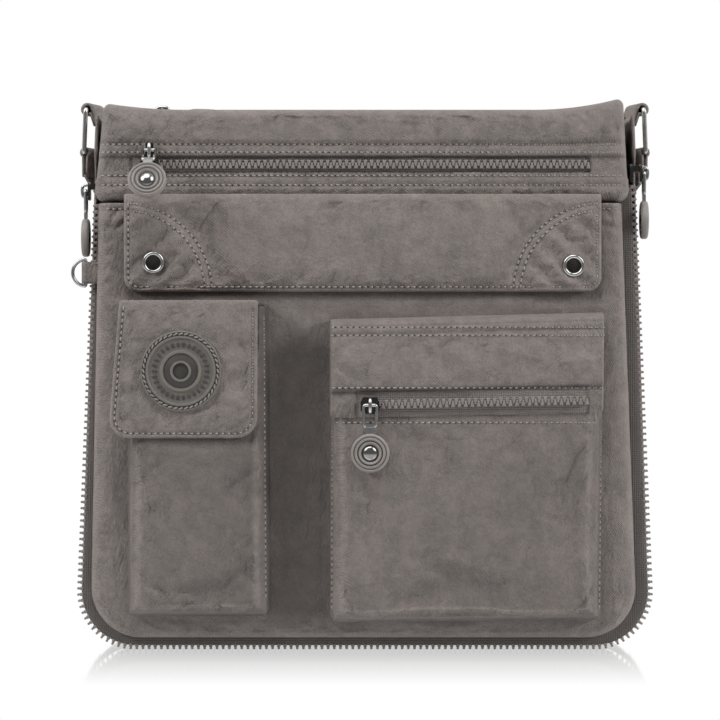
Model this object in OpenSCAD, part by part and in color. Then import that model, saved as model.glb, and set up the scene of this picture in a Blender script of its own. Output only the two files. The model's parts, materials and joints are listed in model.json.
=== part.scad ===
// Expandable crossbody messenger bag of crinkled nylon, standing on its base with the expansion zip open.
// Millimetres. X runs to the wearer's left as the front is seen, Y to the back, Z up.

/* [Body] */
// Half width of the bag at its top seam
half_top = 134; // [130:1:138]
// Half width of the bag just above the rounded bottom corners
half_low = 144; // [141:1:148]
// Radius of the bottom corners at the zip teeth
corner_r = 29; // [24:1:34]
// Height of the main body without the strap loops
body_h = 271; // [268:1:276]
// Plane of the front row of expansion teeth
front_y = -40; // [-44:1:-38]
// Outer face of the back panel
back_y = 31; // [28:1:36]
// Angle that the front half opens by when the expansion zip is undone
open_deg = 6.5; // [5:0.5:7]
// Thickness of a padded fabric wall
wall = 2; // [1.6:0.2:2.2]

/* [Front pockets] */
// Depth of the slip pocket under the main flap
slip_d = 10; // [8:1:12]
// Depth of the two proud pockets
pocket_d = 16; // [14:1:19]
// Height of the lower edge of the main flap
flap_low = 179; // [176:1:182]
// Height of the upper edge of the main flap
flap_high = 228; // [226:1:229]
// Thickness of the main flap
flap_t = 2.8; // [2.4:0.2:3]
// Radius of the round rubber badge
badge_r = 20; // [17:1:22]

/* [Zips and metal] */
// Width of a closed chain of zip teeth
chain_w = 5.4; // [5:0.2:6]
// Thickness of the zip teeth
teeth_t = 2.4; // [2.2:0.1:2.6]
// Radius of the rubber pull discs
disc_r = 9.6; // [8:0.2:10]
// Wire radius of the rings
ring_wire = 1.25; // [1:0.05:1.4]
// Width of the shoulder strap
strap_w = 25; // [22:1:27]

/* [Hidden] */
$fn = 48;

hinge_z = 236; // line that the front half turns on
row_gap = 3; // from the front row of teeth to the rear row when the zip is closed
tape_w = 7.4; // visible width of a zip tape
row_depth = 2.6; // how far the rear row of teeth reaches along the gusset
panel_y = front_y - slip_d - 1; // face of the front panel
pocket_y = panel_y - pocket_d; // face of the proud pockets
flap_y = panel_y - 1.2; // back face of the main flap
yoke_low = 224;
yoke_z = 243; // middle of the yoke zip
phone_x = [-118.5, -48];
phone_z = [17, 172];
phone_mouth = 150; // upper edge of the phone pocket's face
pouch_x = [-17.5, 119];
pouch_z = [14, 165];
pouch_zip = 122.4; // middle of the zip on the zip pocket
pouch_slot = [-4.5, 110.5];
yoke_slot = [-117, 112];
main_slot = [-112, 112];
main_y = -5; // middle of the top zip
ring_y = 12; // middle of the strap rings
ring_z = [274.5, 252]; // upper and lower bars of a strap ring
ring_x = 141.2;
ring_turn = 15;      // each strap ring stands with its front end turned outwards
loop_tail = [134.7, 3.2]; // tail of a ring loop, just outside the gusset, and its thickness
ring_bar = [22, 27]; // lengths of the upper and lower bars
bar_hole = ring_wire + 0.5;
eyelets = [[-105.5, 193.5], [104, 192]];
badge_at = [-91, 139.5];
slider_x = 136.6; // middle of a parked slider on the expansion zip
slider_y = front_y + 4;
slider_z = [230, 239];
ring_post = [-140, front_y - 3.4, 188.8]; // straight bar of the D-ring
ring_r = 6.8;                            // D-ring's bend, to the middle of its wire

// A flat shape drawn in X and Z, given thickness from y0 to y1
module slab(y0, y1) { translate([0, y1, 0]) rotate([90, 0, 0]) linear_extrude(y1 - y0) children(); }

// The bag's outline seen from the front, pulled in by d
module outline(d, top) {
    z_corner = corner_r;
    slope = (half_low - half_top) / (body_h - z_corner);
    x_top = half_low - slope * (top - z_corner) - d;
    x_corner = half_low - corner_r;
    polygon([[-x_top, top], [-half_low + d, z_corner], [-x_corner, d], [x_corner, d],
             [half_low - d, z_corner], [x_top, top]]);
    for (s = [-1, 1]) translate([s * x_corner, z_corner]) circle(corner_r - d, $fn = 96);
}

// A U-shaped band of the outline between two insets
module band(d0, d1, top) {
    difference() { outline(d0, top); translate([0, 0.01]) outline(d1, top + 5); }
}

// Everything behind the rear zip row, starting d behind it
module behind_rear_row(d) {
    translate([-200, front_y + row_gap + d, hinge_z]) cube([400, 200, 60]);
    intersection() {
        translate([0, front_y, hinge_z]) rotate([open_deg, 0, 0])
            translate([-200, row_gap + d, -300]) cube([400, 300, 301]);
        translate([-200, -200, -50]) cube([400, 400, hinge_z + 50]);
    }
}

module rounded_rect(x0, x1, z0, z1, r) {
    translate([x0 + r, z0]) square([x1 - x0 - 2 * r, z1 - z0]);
    translate([x0, z0 + r]) square([x1 - x0, z1 - z0 - 2 * r]);
    for (x = [x0 + r, x1 - r], z = [z0 + r, z1 - r]) translate([x, z]) circle(r);
}

// A rectangle with only its lower corners rounded
module pocket_shape(x0, x1, z0, z1, r) {
    translate([x0, z0 + r]) square([x1 - x0, z1 - z0 - r]);
    translate([x0 + r, z0]) square([x1 - x0 - 2 * r, r + 1]);
    for (x = [x0 + r, x1 - r]) translate([x, z0 + r]) circle(r);
}

// ---- back half ----
module back_panel() { color("dimgray") slab(back_y - 2.5, back_y) outline(3, body_h - 3); }

module rear_gusset() {
    color("gray") intersection() {
        slab(front_y, back_y) band(0, wall, body_h - 3);
        union() {
            behind_rear_row(row_depth + tape_w);
            translate([-200, front_y + row_gap, slider_z[1] + 7]) cube([400, 200, 60]);
        }
    }
    color("gray") slab(back_y - 2.5, back_y) band(wall, 3, body_h - 3);
}

module rear_zip_tape() {
    color("dimgray") intersection() {
        slab(front_y, back_y) band(0.4, wall - 0.4, 224);
        difference() { behind_rear_row(row_depth); behind_rear_row(row_depth + tape_w); }
    }
}

module rear_zip_teeth() {
    color("darkgray") intersection() {
        slab(front_y, back_y) band(0, teeth_t, 223);
        difference() { behind_rear_row(0); behind_rear_row(row_depth); }
    }
}

// Gusset that the expansion zip frees; it slides inside the rear gusset as the front folds in
module bellows() {
    color("black") difference() {
        slab(front_y + 0.6, back_y) band(5, 6.6, 221);
        behind_rear_row(row_depth + tape_w);
    }
}

module top_panel() {
    color("gray") difference() {
        translate([-half_top + 2, front_y + 3, body_h - 5])
            cube([2 * half_top - 4, back_y - 2.5 - front_y - 3, wall]);
        translate([main_slot[0], main_y - 7, body_h - 10]) cube([main_slot[1] - main_slot[0], 14, 20]);
    }
}

module yoke_pocket() {
    color("gray") difference() {
        slab(panel_y, front_y + 3)
            rounded_rect(-half_top + 0.5, half_top - 2.5, yoke_low, body_h, 7);
        slab(panel_y + wall, front_y - 4)
            rounded_rect(-half_top + 4, half_top - 6, yoke_low + 3, body_h - 3, 5);
        translate([-200, front_y - 2.5, 200]) cube([400, 20, hinge_z + 1.5 - 200]);
        slab(panel_y - 1, panel_y + wall + 1)
            translate([yoke_slot[0], yoke_z - 5.5]) square([yoke_slot[1] - yoke_slot[0], 11]);
    }
}

// A zip tape that fills a slot in a wall, lying in X and Z
module tape(x0, x1, z, y, half) {
    slab(y, y + 0.8) translate([x0, z - half]) square([x1 - x0, 2 * half]);
}

// Strip that the main flap is sewn to, along the lower edge of the yoke
module flap_seam() {
    color("gray") slab(flap_y + 0.3, panel_y) translate([-118, yoke_low]) square([234, 3]);
}

module yoke_zip_tape() { color("dimgray") tape(yoke_slot[0], yoke_slot[1], yoke_z, panel_y + 1.2, 5.5); }

// The closed teeth of a zip as one bead
module chain(x0, x1, z, y) {
    slab(y - teeth_t, y) translate([x0, z - chain_w / 2]) square([x1 - x0, chain_w]);
}

module yoke_zip_teeth() {
    color("silver") chain(yoke_slot[0], yoke_slot[1], yoke_z, panel_y + 1.2);
}

module main_zip_tape() {
    color("dimgray") translate([main_slot[0], main_y - 7, body_h - 4.6])
        cube([main_slot[1] - main_slot[0], 14, 0.8]);
}

module main_zip_teeth() {
    color("silver") translate([main_slot[0], main_y - chain_w / 2, body_h - 3.8])
        cube([main_slot[1] - main_slot[0], chain_w, teeth_t]);
}

// Fabric loop that holds the upper bar of a strap ring, side -1 or 1
module at_ring(s, z) { translate([s * ring_x, ring_y, z]) rotate([0, 0, s * ring_turn]) children(); }
module strap_loop(s) {
    color("gray") difference() {
        union() {
            at_ring(s, ring_z[0]) rotate([90, 0, 0]) cylinder(h = 18, r = 3.4, center = true);
            translate([s > 0 ? loop_tail[0] : -loop_tail[0] - loop_tail[1], ring_y - 9, ring_z[0] - 12])
                cube([loop_tail[1], 18, 12]);
        }
        at_ring(s, ring_z[0]) rotate([90, 0, 0]) cylinder(h = 30, r = bar_hole, center = true);
    }
}

module strap_loop_left() { strap_loop(-1); }
module strap_loop_right() { strap_loop(1); }

// Slider parked at an upper end of the expansion zip, its bridge on the outside, side -1 or 1
module expansion_slider(s, z) {
    color("silver") translate([s * slider_x, slider_y, z]) {
        difference() {
            cube([6, 8, 10], center = true);
            translate([0, 0, -3]) cube([3, 5.4, 10], center = true);
        }
        translate([s * 4.4, 0, 0]) difference() {
            cube([3.4, 2, 7.2], center = true);
            translate([-s * 1.1, 0, 0]) cube([3.4, 4, 4.6], center = true);
        }
    }
}
module expansion_slider_left() { expansion_slider(-1, slider_z[0]); }
module expansion_slider_right() { expansion_slider(1, slider_z[1]); }

strap_y = back_y + 0.6;
bundle_h = 27; // the spare strap is folded and stands on its edge
module strap_run(s) {
    color("gray") translate([s > 0 ? 104 : -104 - strap_w, strap_y, bundle_h]) cube([strap_w, 1.4, 232 - bundle_h]);
    color("gray") translate([s * ring_x - 0.7, ring_y - 12, 227]) cube([1.4, strap_y + 13.4 - ring_y, 12.6]);
    color("gray") translate([s > 0 ? 104 : -ring_x - 0.7, strap_y, 227]) cube([ring_x - 103.3, 1.4, 5]);
}
module strap_run_left() { strap_run(-1); }
module strap_run_right() { strap_run(1); }

module strap_bundle() {
    color("gray") slab(strap_y, strap_y + 12) rounded_rect(-129, 129, 0, bundle_h, 3);
}

module strap_adjuster() {
    color("silver") translate([-104 - strap_w / 2, 0, 120]) slab(strap_y + 1.8, strap_y + 3.6) difference() {
        rounded_rect(-15.5, 15.5, -9, 9, 3);
        translate([-12.7, -6.5]) square([25.4, 5]);
        translate([-12.7, 1.5]) square([25.4, 5]);
    }
}

// Trapezoid strap ring on edge
module strap_ring(s) {
    color("silver") at_ring(s, 0) {
        for (k = [0, 1]) translate([0, 0, ring_z[k]])
            rotate([90, 0, 0]) cylinder(h = ring_bar[k], r = ring_wire, center = true);
        for (m = [-1, 1]) {
            run = (ring_bar[1] - ring_bar[0]) / 2;
            drop = ring_z[0] - ring_z[1];
            translate([0, m * ring_bar[1] / 2, ring_z[1]]) rotate([m * atan(run / drop), 0, 0])
                cylinder(h = sqrt(run * run + drop * drop), r = ring_wire);
            for (k = [0, 1]) translate([0, m * ring_bar[k] / 2, ring_z[k]]) sphere(ring_wire);
        }
    }
}
module strap_ring_left() { strap_ring(-1); }
module strap_ring_right() { strap_ring(1); }

// End of the strap sewn round the lower bar
module strap_end(s) {
    color("gray") at_ring(s, ring_z[1]) difference() {
        union() {
            rotate([90, 0, 0]) cylinder(h = 24, r = 2.9, center = true);
            translate([-1.4, -12, -12]) cube([2.8, 24, 12]);
        }
        rotate([90, 0, 0]) cylinder(h = 40, r = ring_wire, center = true);
    }
}
module strap_end_left() { strap_end(-1); }
module strap_end_right() { strap_end(1); }

// ---- front half ----
module front_wall() {
    color("dimgray") slab(front_y - 1, front_y + 1) intersection() {
        outline(8, hinge_z - 1.5);
        translate([-half_top + 8, 0]) square([2 * half_top - 16, 300]);
    }
    color("dimgray") slab(front_y - 1, front_y + 1) difference() {
        outline(8, 221);
        translate([-half_top + 8, 0]) square([2 * half_top - 16, 300]);
    }
}

module front_zip_tape() { color("dimgray") slab(front_y - 0.6, front_y + 0.6) band(teeth_t, 8, 221); }
module front_zip_teeth() {
    color("darkgray") slab(front_y - teeth_t / 2, front_y + teeth_t / 2) band(0, teeth_t, 221);
}

// Webbing tab over the teeth, folded round the straight bar of the D-ring
module ring_tab() {
    color("gray") translate(ring_post) difference() {
        union() {
            cylinder(h = 11, r = 2, center = true);
            translate([0, -0.2, -5.5]) cube([9.8, 1.4, 11]);
        }
        cylinder(h = 30, r = 1.3, center = true);
    }
}

module d_ring() {
    color("silver") translate(ring_post) {
        cylinder(h = 2 * ring_r, r = 0.9, center = true, $fn = 24);
        rotate([90, 0, 0]) rotate([0, 0, 90]) rotate_extrude(angle = 180)
            translate([ring_r, 0]) circle(0.9, $fn = 24);
        for (s = [-1, 1]) translate([0, 0, s * ring_r]) sphere(0.9, $fn = 24);
    }
}

// Outer layer of the front, a shallow tray whose upper hem dips under the flap
module front_panel() {
    color("gray") slab(panel_y, panel_y + wall) difference() {
        outline(7.5, 222.5);
        translate([-105, 213.5]) square([210, 20]);
    }
    color("gray") slab(panel_y + wall, front_y - 1) band(7.5, 9.5, 222.5);
}

// Pocket box with an open hollow; the face may stop lower than the sides
module pouch(x, z, face_top, r) {
    difference() {
        slab(pocket_y, panel_y) pocket_shape(x[0], x[1], z[0], z[1], r);
        slab(pocket_y + wall, panel_y - 1)
            pocket_shape(x[0] + wall, x[1] - wall, z[0] + wall, z[1] + 20, r - wall);
        translate([x[0] + wall, pocket_y - 1, face_top]) cube([x[1] - x[0] - 2 * wall, wall + 2, 100]);
    }
}

module phone_pocket() { color("gray") pouch(phone_x, phone_z, phone_mouth, 8); }

module phone_flap_root() {
    color("gray") slab(pocket_y, panel_y) translate([-121.5, 172]) square([68.5, 2.6]);
}

module pocket_hook_patch() {
    color("dimgray") slab(pocket_y - 0.3, pocket_y) rounded_rect(-104, -70, 112, 130, 2);
}

module zip_pocket() {
    color("gray") difference() {
        slab(pocket_y, panel_y) rounded_rect(pouch_x[0], pouch_x[1], pouch_z[0], pouch_z[1], 6);
        slab(pocket_y + wall, panel_y - 1)
            rounded_rect(pouch_x[0] + wall, pouch_x[1] - wall, pouch_z[0] + wall, pouch_z[1] - wall, 4);
        slab(pocket_y - 1, pocket_y + wall + 1)
            translate([pouch_slot[0], pouch_zip - 6.5]) square([pouch_slot[1] - pouch_slot[0], 13]);
    }
}

module zip_pocket_header() {
    color("gray") slab(pocket_y - 1, pocket_y)
        translate([pouch_x[0] + 1, 130.5]) square([pouch_x[1] - pouch_x[0] - 2, 34]);
}

module pocket_zip_tape() {
    color("dimgray") tape(pouch_slot[0], pouch_slot[1], pouch_zip, pocket_y + 1.2, 6.5);
}
module pocket_zip_teeth() {
    color("silver") chain(pouch_slot[0], pouch_slot[1], pouch_zip, pocket_y + 1.2);
}

// ---- flaps ----
flap_x = [-120.4, 118];
flap_pivot = flap_high - flap_t / 2;
module main_flap() {
    color("gray") difference() {
        union() {
            slab(flap_y - flap_t, flap_y) pocket_shape(flap_x[0], flap_x[1], flap_low, flap_pivot, 7);
            translate([flap_x[0], flap_y - flap_t / 2, flap_pivot]) rotate([0, 90, 0])
                cylinder(h = flap_x[1] - flap_x[0], r = flap_t / 2);
        }
        for (e = eyelets) translate([e[0], 0, e[1]]) rotate([90, 0, 0]) cylinder(h = 200, r = 4.4, center = true);
    }
}

// Patch sewn over a lower corner of the flap, bounded by an arc
module corner_patch(e, s) {
    corner = s < 0 ? flap_x[0] : flap_x[1];
    color("dimgray") difference() {
        slab(flap_y - flap_t - 0.8, flap_y - flap_t) intersection() {
            pocket_shape(flap_x[0], flap_x[1], flap_low, flap_high, 7);
            translate([corner, flap_low]) circle(43, $fn = 96);
        }
        translate([e[0], 0, e[1]]) rotate([90, 0, 0]) cylinder(h = 200, r = 4.4, center = true);
    }
}
module corner_patch_left() { corner_patch(eyelets[0], -1); }
module corner_patch_right() { corner_patch(eyelets[1], 1); }

module flap_eyelets() {
    color("silver") for (e = eyelets) translate([e[0], flap_y - flap_t - 0.8, e[1]]) rotate([90, 0, 0])
        difference() {
            union() {
                cylinder(h = 0.9, r = 5.6);
                translate([0, 0, -flap_t - 0.8]) cylinder(h = flap_t + 0.8, r = 4.4);
            }
            translate([0, 0, -10]) cylinder(h = 20, r = 3.6);
        }
}

lid_x = [-127, -53];
lid_pivot = 173.5; // middle of the rounded fold that the flap turns on
module phone_flap() {
    color("gray") {
        slab(pocket_y - 3, pocket_y - 0.8) pocket_shape(lid_x[0], lid_x[1], 106.3, lid_pivot, 10);
        translate([lid_x[0], pocket_y - 1.9, lid_pivot]) rotate([0, 90, 0])
            cylinder(h = lid_x[1] - lid_x[0], r = 1.1);
    }
}

module rubber_badge() {
    color("darkgray") translate([badge_at[0], pocket_y - 3, badge_at[1]]) rotate([90, 0, 0]) {
        cylinder(h = 1.6, r = badge_r);
        translate([0, 0, 1.6]) difference() {
            cylinder(h = 0.8, r = badge_r - 1);
            translate([0, 0, -1]) cylinder(h = 3, r = badge_r - 3);
        }
        translate([0, 0, 1.6]) cylinder(h = 0.8, r = 8);
    }
}

module flap_loop_patch() {
    color("dimgray") slab(pocket_y - 0.8, pocket_y - 0.6) rounded_rect(-104, -70, 112, 130, 2);
}

// ---- zip sliders and pulls ----
// Arch for a pull's bar, open along X, its foot on the plane y = 0 and its crown at y = -3.2
module bridge() {
    difference() {
        translate([-1, -3.2, -3.6]) cube([2, 3.3, 7.2]);
        translate([-2, -2.1, -2.3]) cube([4, 3.4, 4.6]);
    }
}

// Slider over closed teeth that run along X, with its bridge raised by up and turned by turn
module slider(up, turn) {
    translate([-4.5, -3.2, -chain_w / 2 - 1.5]) difference() {
        cube([9, 3.2, chain_w + 3 + up]);
        translate([-1, 1.7, 1.1]) cube([11, 3, chain_w + 0.8]);
    }
    translate([0, -3.2, up]) rotate([0, turn, 0]) bridge();
}

// Pull link hanging from a bar at the origin: wire loop and flat neck, tilted forward by a
module pull_link(a) {
    wire = 0.8;
    rotate([-a, 0, 0]) {
        for (s = [-1, 1]) translate([s * 3, 0, -9]) cylinder(h = 9, r = wire, $fn = 24);
        for (z = [0, -9]) translate([0, 0, z]) rotate([0, 90, 0])
            cylinder(h = 6, r = wire, center = true, $fn = 24);
        for (s = [-1, 1], z = [0, -9]) translate([s * 3, 0, z]) sphere(wire, $fn = 24);
        translate([-2, -0.7, -15]) cube([4, 1.4, 6]);
    }
}

// Grooved rubber disc moulded on the end of the neck and hanging at the angle b
module pull_disc(a, b) {
    rotate([-a, 0, 0]) translate([0, 0, -13.8]) rotate([a - b, 0, 0]) translate([0, 0, -disc_r])
        rotate([90, 0, 0]) difference() {
            cylinder(h = 3.2, r = disc_r, center = true);
            for (s = [-1, 1]) translate([0, 0, s * 1.6]) difference() {
                cylinder(h = 1, r = disc_r - 1.6, center = true);
                cylinder(h = 2, r = disc_r - 3.8, center = true);
            }
        }
}

yoke_face = [-107.5, panel_y - 0.5, yoke_z];
yoke_up = 6.5; // the bridge of the yoke slider stands this much higher
pocket_face = [2.5, pocket_y - 0.5, pouch_zip];
bar_out = 4.25; // from a slider's inner face to the middle of the pull's bar
module at_yoke_bar() { translate(yoke_face + [0, -bar_out, yoke_up]) children(); }
module at_pocket_bar() { translate(pocket_face + [0, -bar_out, 0]) children(); }
// The main zip lies flat, so its slider faces up and its pull lies along the teeth
module at_main() { translate([-104, main_y, body_h - 2.5]) rotate([-90, 0, 0]) children(); }
module at_main_bar() { at_main() translate([0, -bar_out, 0]) rotate([0, -90, 0]) children(); }
module at_expansion_bar(s, z) {
    translate([s * (slider_x + 4.1), slider_y, z]) rotate([0, 0, 90]) children();
}

module yoke_slider() { color("silver") translate(yoke_face) slider(yoke_up, 0); }
module yoke_pull_link() { color("silver") at_yoke_bar() pull_link(60); }
module yoke_pull_disc() { color("gray") at_yoke_bar() pull_disc(60, 25); }
module pocket_slider() { color("silver") translate(pocket_face) slider(0, 0); }
module pocket_pull_link() { color("silver") at_pocket_bar() pull_link(0); }
module pocket_pull_disc() { color("gray") at_pocket_bar() pull_disc(0, 0); }
module main_slider() { color("silver") at_main() slider(0, 90); }
module main_pull_link() { color("silver") at_main_bar() pull_link(-1.5); }
module main_pull_disc() { color("gray") at_main_bar() pull_disc(-1.5, -1.5); }
module expansion_pull_left_link() { color("silver") at_expansion_bar(-1, slider_z[0]) pull_link(0); }
module expansion_pull_left_disc() { color("gray") at_expansion_bar(-1, slider_z[0]) pull_disc(0, 0); }
module expansion_pull_right_link() { color("silver") at_expansion_bar(1, slider_z[1]) pull_link(0); }
module expansion_pull_right_disc() { color("gray") at_expansion_bar(1, slider_z[1]) pull_disc(0, 0); }

back_panel();
rear_gusset();
rear_zip_tape();
rear_zip_teeth();
bellows();
top_panel();
yoke_pocket();
yoke_zip_tape();
yoke_zip_teeth();
main_zip_tape();
main_zip_teeth();
strap_loop_left();
strap_loop_right();
ring_tab();
expansion_slider_left();
expansion_slider_right();
strap_run_left();
strap_run_right();
strap_bundle();
strap_adjuster();
strap_ring_left();
strap_end_left();
strap_ring_right();
strap_end_right();
d_ring();
front_wall();
front_panel();
front_zip_tape();
front_zip_teeth();
flap_seam();
phone_pocket();
phone_flap_root();
pocket_hook_patch();
zip_pocket();
zip_pocket_header();
pocket_zip_tape();
pocket_zip_teeth();
main_flap();
corner_patch_left();
corner_patch_right();
flap_eyelets();
phone_flap();
rubber_badge();
flap_loop_patch();
yoke_slider();
yoke_pull_link();
yoke_pull_disc();
pocket_slider();
pocket_pull_link();
pocket_pull_disc();
main_slider();
main_pull_link();
main_pull_disc();
expansion_pull_left_link();
expansion_pull_left_disc();
expansion_pull_right_link();
expansion_pull_right_disc();
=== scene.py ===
import json
import math

import bmesh
import bpy
import numpy as np
from mathutils import Matrix, Vector, noise
from mathutils.bvhtree import BVHTree


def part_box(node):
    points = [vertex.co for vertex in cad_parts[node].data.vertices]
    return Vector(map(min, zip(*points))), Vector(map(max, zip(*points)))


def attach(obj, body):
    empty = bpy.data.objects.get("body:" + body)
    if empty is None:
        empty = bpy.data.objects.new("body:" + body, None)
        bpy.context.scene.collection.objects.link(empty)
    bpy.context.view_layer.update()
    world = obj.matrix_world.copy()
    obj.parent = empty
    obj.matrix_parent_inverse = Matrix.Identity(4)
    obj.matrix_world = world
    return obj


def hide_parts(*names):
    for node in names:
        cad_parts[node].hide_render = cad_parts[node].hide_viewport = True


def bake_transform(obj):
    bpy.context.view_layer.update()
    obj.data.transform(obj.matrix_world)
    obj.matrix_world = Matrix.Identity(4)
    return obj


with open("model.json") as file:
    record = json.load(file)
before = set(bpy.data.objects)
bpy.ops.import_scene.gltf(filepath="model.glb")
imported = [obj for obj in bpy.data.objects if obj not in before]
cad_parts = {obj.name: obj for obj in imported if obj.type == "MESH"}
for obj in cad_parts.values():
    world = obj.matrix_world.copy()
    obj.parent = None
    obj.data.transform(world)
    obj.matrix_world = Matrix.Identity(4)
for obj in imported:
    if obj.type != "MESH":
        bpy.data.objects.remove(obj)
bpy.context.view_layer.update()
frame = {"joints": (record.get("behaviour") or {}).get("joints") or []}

# ---- Studio ----
# A level camera square to the bag's front, in a white room with four soft lights.
# Mirrors see three soft boxes in the room instead of the lights.
# The floor is pale and slightly glossy, and fades into the white.
scene = bpy.context.scene
scene.gravity = (0, -2, -3)
scene.view_settings.view_transform = "Standard"
camera = bpy.data.objects.new("camera", bpy.data.cameras.new("camera"))
scene.collection.objects.link(camera)
camera.data.lens = 160
camera.data.sensor_width = 36
camera.location = (-0.0025, -1.65, 0.145)
camera.rotation_euler = (math.pi / 2, 0, 0)
scene.camera = camera


def soft_light(name, place, aim, size, watts):
    lamp = bpy.data.lights.new(name, "AREA")
    lamp.shape, lamp.size, lamp.energy = "DISK", size, watts
    obj = bpy.data.objects.new(name, lamp)
    obj.location = place
    obj.rotation_euler = (Vector(aim) - Vector(place)).to_track_quat("-Z", "Y").to_euler()
    obj.visible_glossy = False
    scene.collection.objects.link(obj)


soft_light("left", (-1.1, -0.55, 0.75), (0, 0, 0.13), 0.4, 11)
soft_light("right", (1.15, -0.42, 0.55), (0, 0, 0.14), 0.4, 12.5)
soft_light("top", (-0.15, -0.52, 1.25), (0, 0, 0.16), 0.4, 7.5)
soft_light("back", (0.2, 1.3, 0.9), (0, 0, 0.14), 1.0, 6)


class Value:
    """A shader value in a node tree: + - * / on it add Math nodes, node() adds any other."""

    def __init__(self, tree, socket=None):
        self.tree, self.socket = tree, socket

    def node(self, kind, settings=None, inputs=None, out=0):
        made = self.tree.nodes.new(kind)
        for key, value in (settings or {}).items():
            if key == "stops":
                while len(made.color_ramp.elements) < len(value):
                    made.color_ramp.elements.new(0.5)
                for element, (at, colour) in zip(made.color_ramp.elements, value):
                    element.position, element.color = at, (*colour, 1)
            else:
                setattr(made, key, value)
        for key, value in (inputs or {}).items():
            if isinstance(value, Value):
                self.tree.links.new(value.socket, made.inputs[key])
            else:
                made.inputs[key].default_value = value
        return Value(self.tree, made.outputs[out] if len(made.outputs) else None)

    def maths(self, operation, other=0.0):
        return self.node("ShaderNodeMath", {"operation": operation}, {0: self, 1: other})

    def __add__(self, other):
        return self.maths("ADD", other)

    def __mul__(self, other):
        return self.maths("MULTIPLY", other)

    def __sub__(self, other):
        return self.maths("SUBTRACT", other)

    def __rsub__(self, other):
        return self.node("ShaderNodeMath", {"operation": "SUBTRACT"}, {0: other, 1: self})

    __radd__ = __add__
    __rmul__ = __mul__


def new_material(name):
    """An empty material and the Value that starts its tree."""
    made = bpy.data.materials.new(name)
    made.use_nodes = True
    made.node_tree.nodes.clear()
    return made, Value(made.node_tree)


def noise_at(place, size, detail=3.0, rough=0.5):
    """Noise whose features are size metres across, 0 to 1."""
    inputs = {"Vector": place, "Scale": 1 / size, "Detail": detail, "Roughness": rough}
    return place.node("ShaderNodeTexNoise", {}, inputs)


def mix_colours(mask, a, b):
    """The colour a where the mask is 0 and b where it is 1."""
    shades = [c if isinstance(c, Value) else (*c, 1) for c in (a, b)]
    return mask.node("ShaderNodeMix", {"data_type": "RGBA"}, {0: mask, 6: shades[0], 7: shades[1]}, out=2)


def one_noise_material(name, grain, low, high, rough, spread=0.0, bump=None, metallic=0.0):
    """Colour and roughness that follow one noise: grain is its size and detail."""
    made, start = new_material(name)
    place = start.node("ShaderNodeTexCoord", out=3)
    mask = noise_at(place, *grain)
    inputs = {"Base Color": mix_colours(mask, low, high), "Roughness": mask * spread + rough,
              "Metallic": metallic}
    if bump:
        settings = {"Height": mask, "Strength": bump[0], "Distance": bump[1]}
        inputs["Normal"] = mask.node("ShaderNodeBump", {}, settings)
    skin = start.node("ShaderNodeBsdfPrincipled", {}, inputs)
    start.node("ShaderNodeOutputMaterial", {}, {0: skin})
    return made


floor_material, start = new_material("studio_floor")
place = start.node("ShaderNodeTexCoord", out=3)
reach = place.node("ShaderNodeVectorMath", {"operation": "LENGTH"}, {0: place}, out=1)
fade = reach.node("ShaderNodeMapRange", {}, {0: reach, 1: 0.35, 2: 1.1})
spread = [place.node("ShaderNodeSeparateXYZ", {}, {0: place}, out=k).maths("ABSOLUTE") for k in range(2)]
off = [(spread[0] - 0.14).maths("MAXIMUM", 0.0), (spread[1] - 0.05).maths("MAXIMUM", 0.0)]
clear_of_bag = (off[0] * off[0] + off[1] * off[1]).maths("POWER", 0.5)
sheen = reach.node("ShaderNodeMapRange", {}, {0: clear_of_bag, 1: 0.01, 2: 0.17, 3: 0.42, 4: 0.0})
white = start.node("ShaderNodeEmission", {}, {"Color": (1, 1, 1, 1), "Strength": 1.0})
gloss = start.node("ShaderNodeBsdfGlossy", {}, {"Color": (1, 1, 1, 1), "Roughness": 0.06})
clear = start.node("ShaderNodeBsdfTransparent")
floor = start.node("ShaderNodeMixShader", {}, {0: sheen, 1: white, 2: gloss})
faded = start.node("ShaderNodeMixShader", {}, {0: fade, 1: floor, 2: clear})
start.node("ShaderNodeOutputMaterial", {}, {0: faded})
bpy.ops.mesh.primitive_circle_add(vertices=96, radius=1.2, fill_type="NGON", location=(0, 0, -0.0004))
ground = bpy.context.object
ground.name = "studio_floor"
ground.data.materials.append(floor_material)

room = bpy.data.worlds.new("white_room")
scene.world = room
room.use_nodes = True
sky = Value(room.node_tree)
room.node_tree.nodes.clear()
seen = sky.node("ShaderNodeLightPath")
mirrored = sky.node("ShaderNodeLightPath", out=3)
way = sky.node("ShaderNodeTexCoord")
towards = sky.node("ShaderNodeSeparateXYZ", {}, {0: way}, out=1)
behind = towards.node("ShaderNodeMapRange", {}, {0: towards, 1: -0.25, 2: 0.05, 3: 0.16, 4: 0.92})
boxes = behind
for aim in ((-0.62, -0.45, 0.64), (0.66, -0.45, 0.60), (-0.1, -0.35, 0.93)):
    facing = way.node("ShaderNodeVectorMath", {"operation": "DOT_PRODUCT"}, {0: way, 1: aim}, out=1)
    boxes = boxes + facing.node("ShaderNodeMapRange", {}, {0: facing, 1: 0.925, 2: 0.96, 3: 0.0, 4: 3.6})
strength = seen * 0.92 + mirrored * boxes + 0.08
glow = sky.node("ShaderNodeBackground", {}, {"Color": (1, 1, 1, 1), "Strength": strength})
sky.node("ShaderNodeOutputWorld", {}, {0: glow})

# ---- Rear gusset ----
# One long strip of crinkled taupe nylon round the sides and base of the main compartment.
# It is lined and turned in at both edges, and stands slack, so it puckers along its seams.
TAUPE = (0.205, 0.180, 0.168)
DARK_TAUPE = (0.068, 0.060, 0.055)


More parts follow.
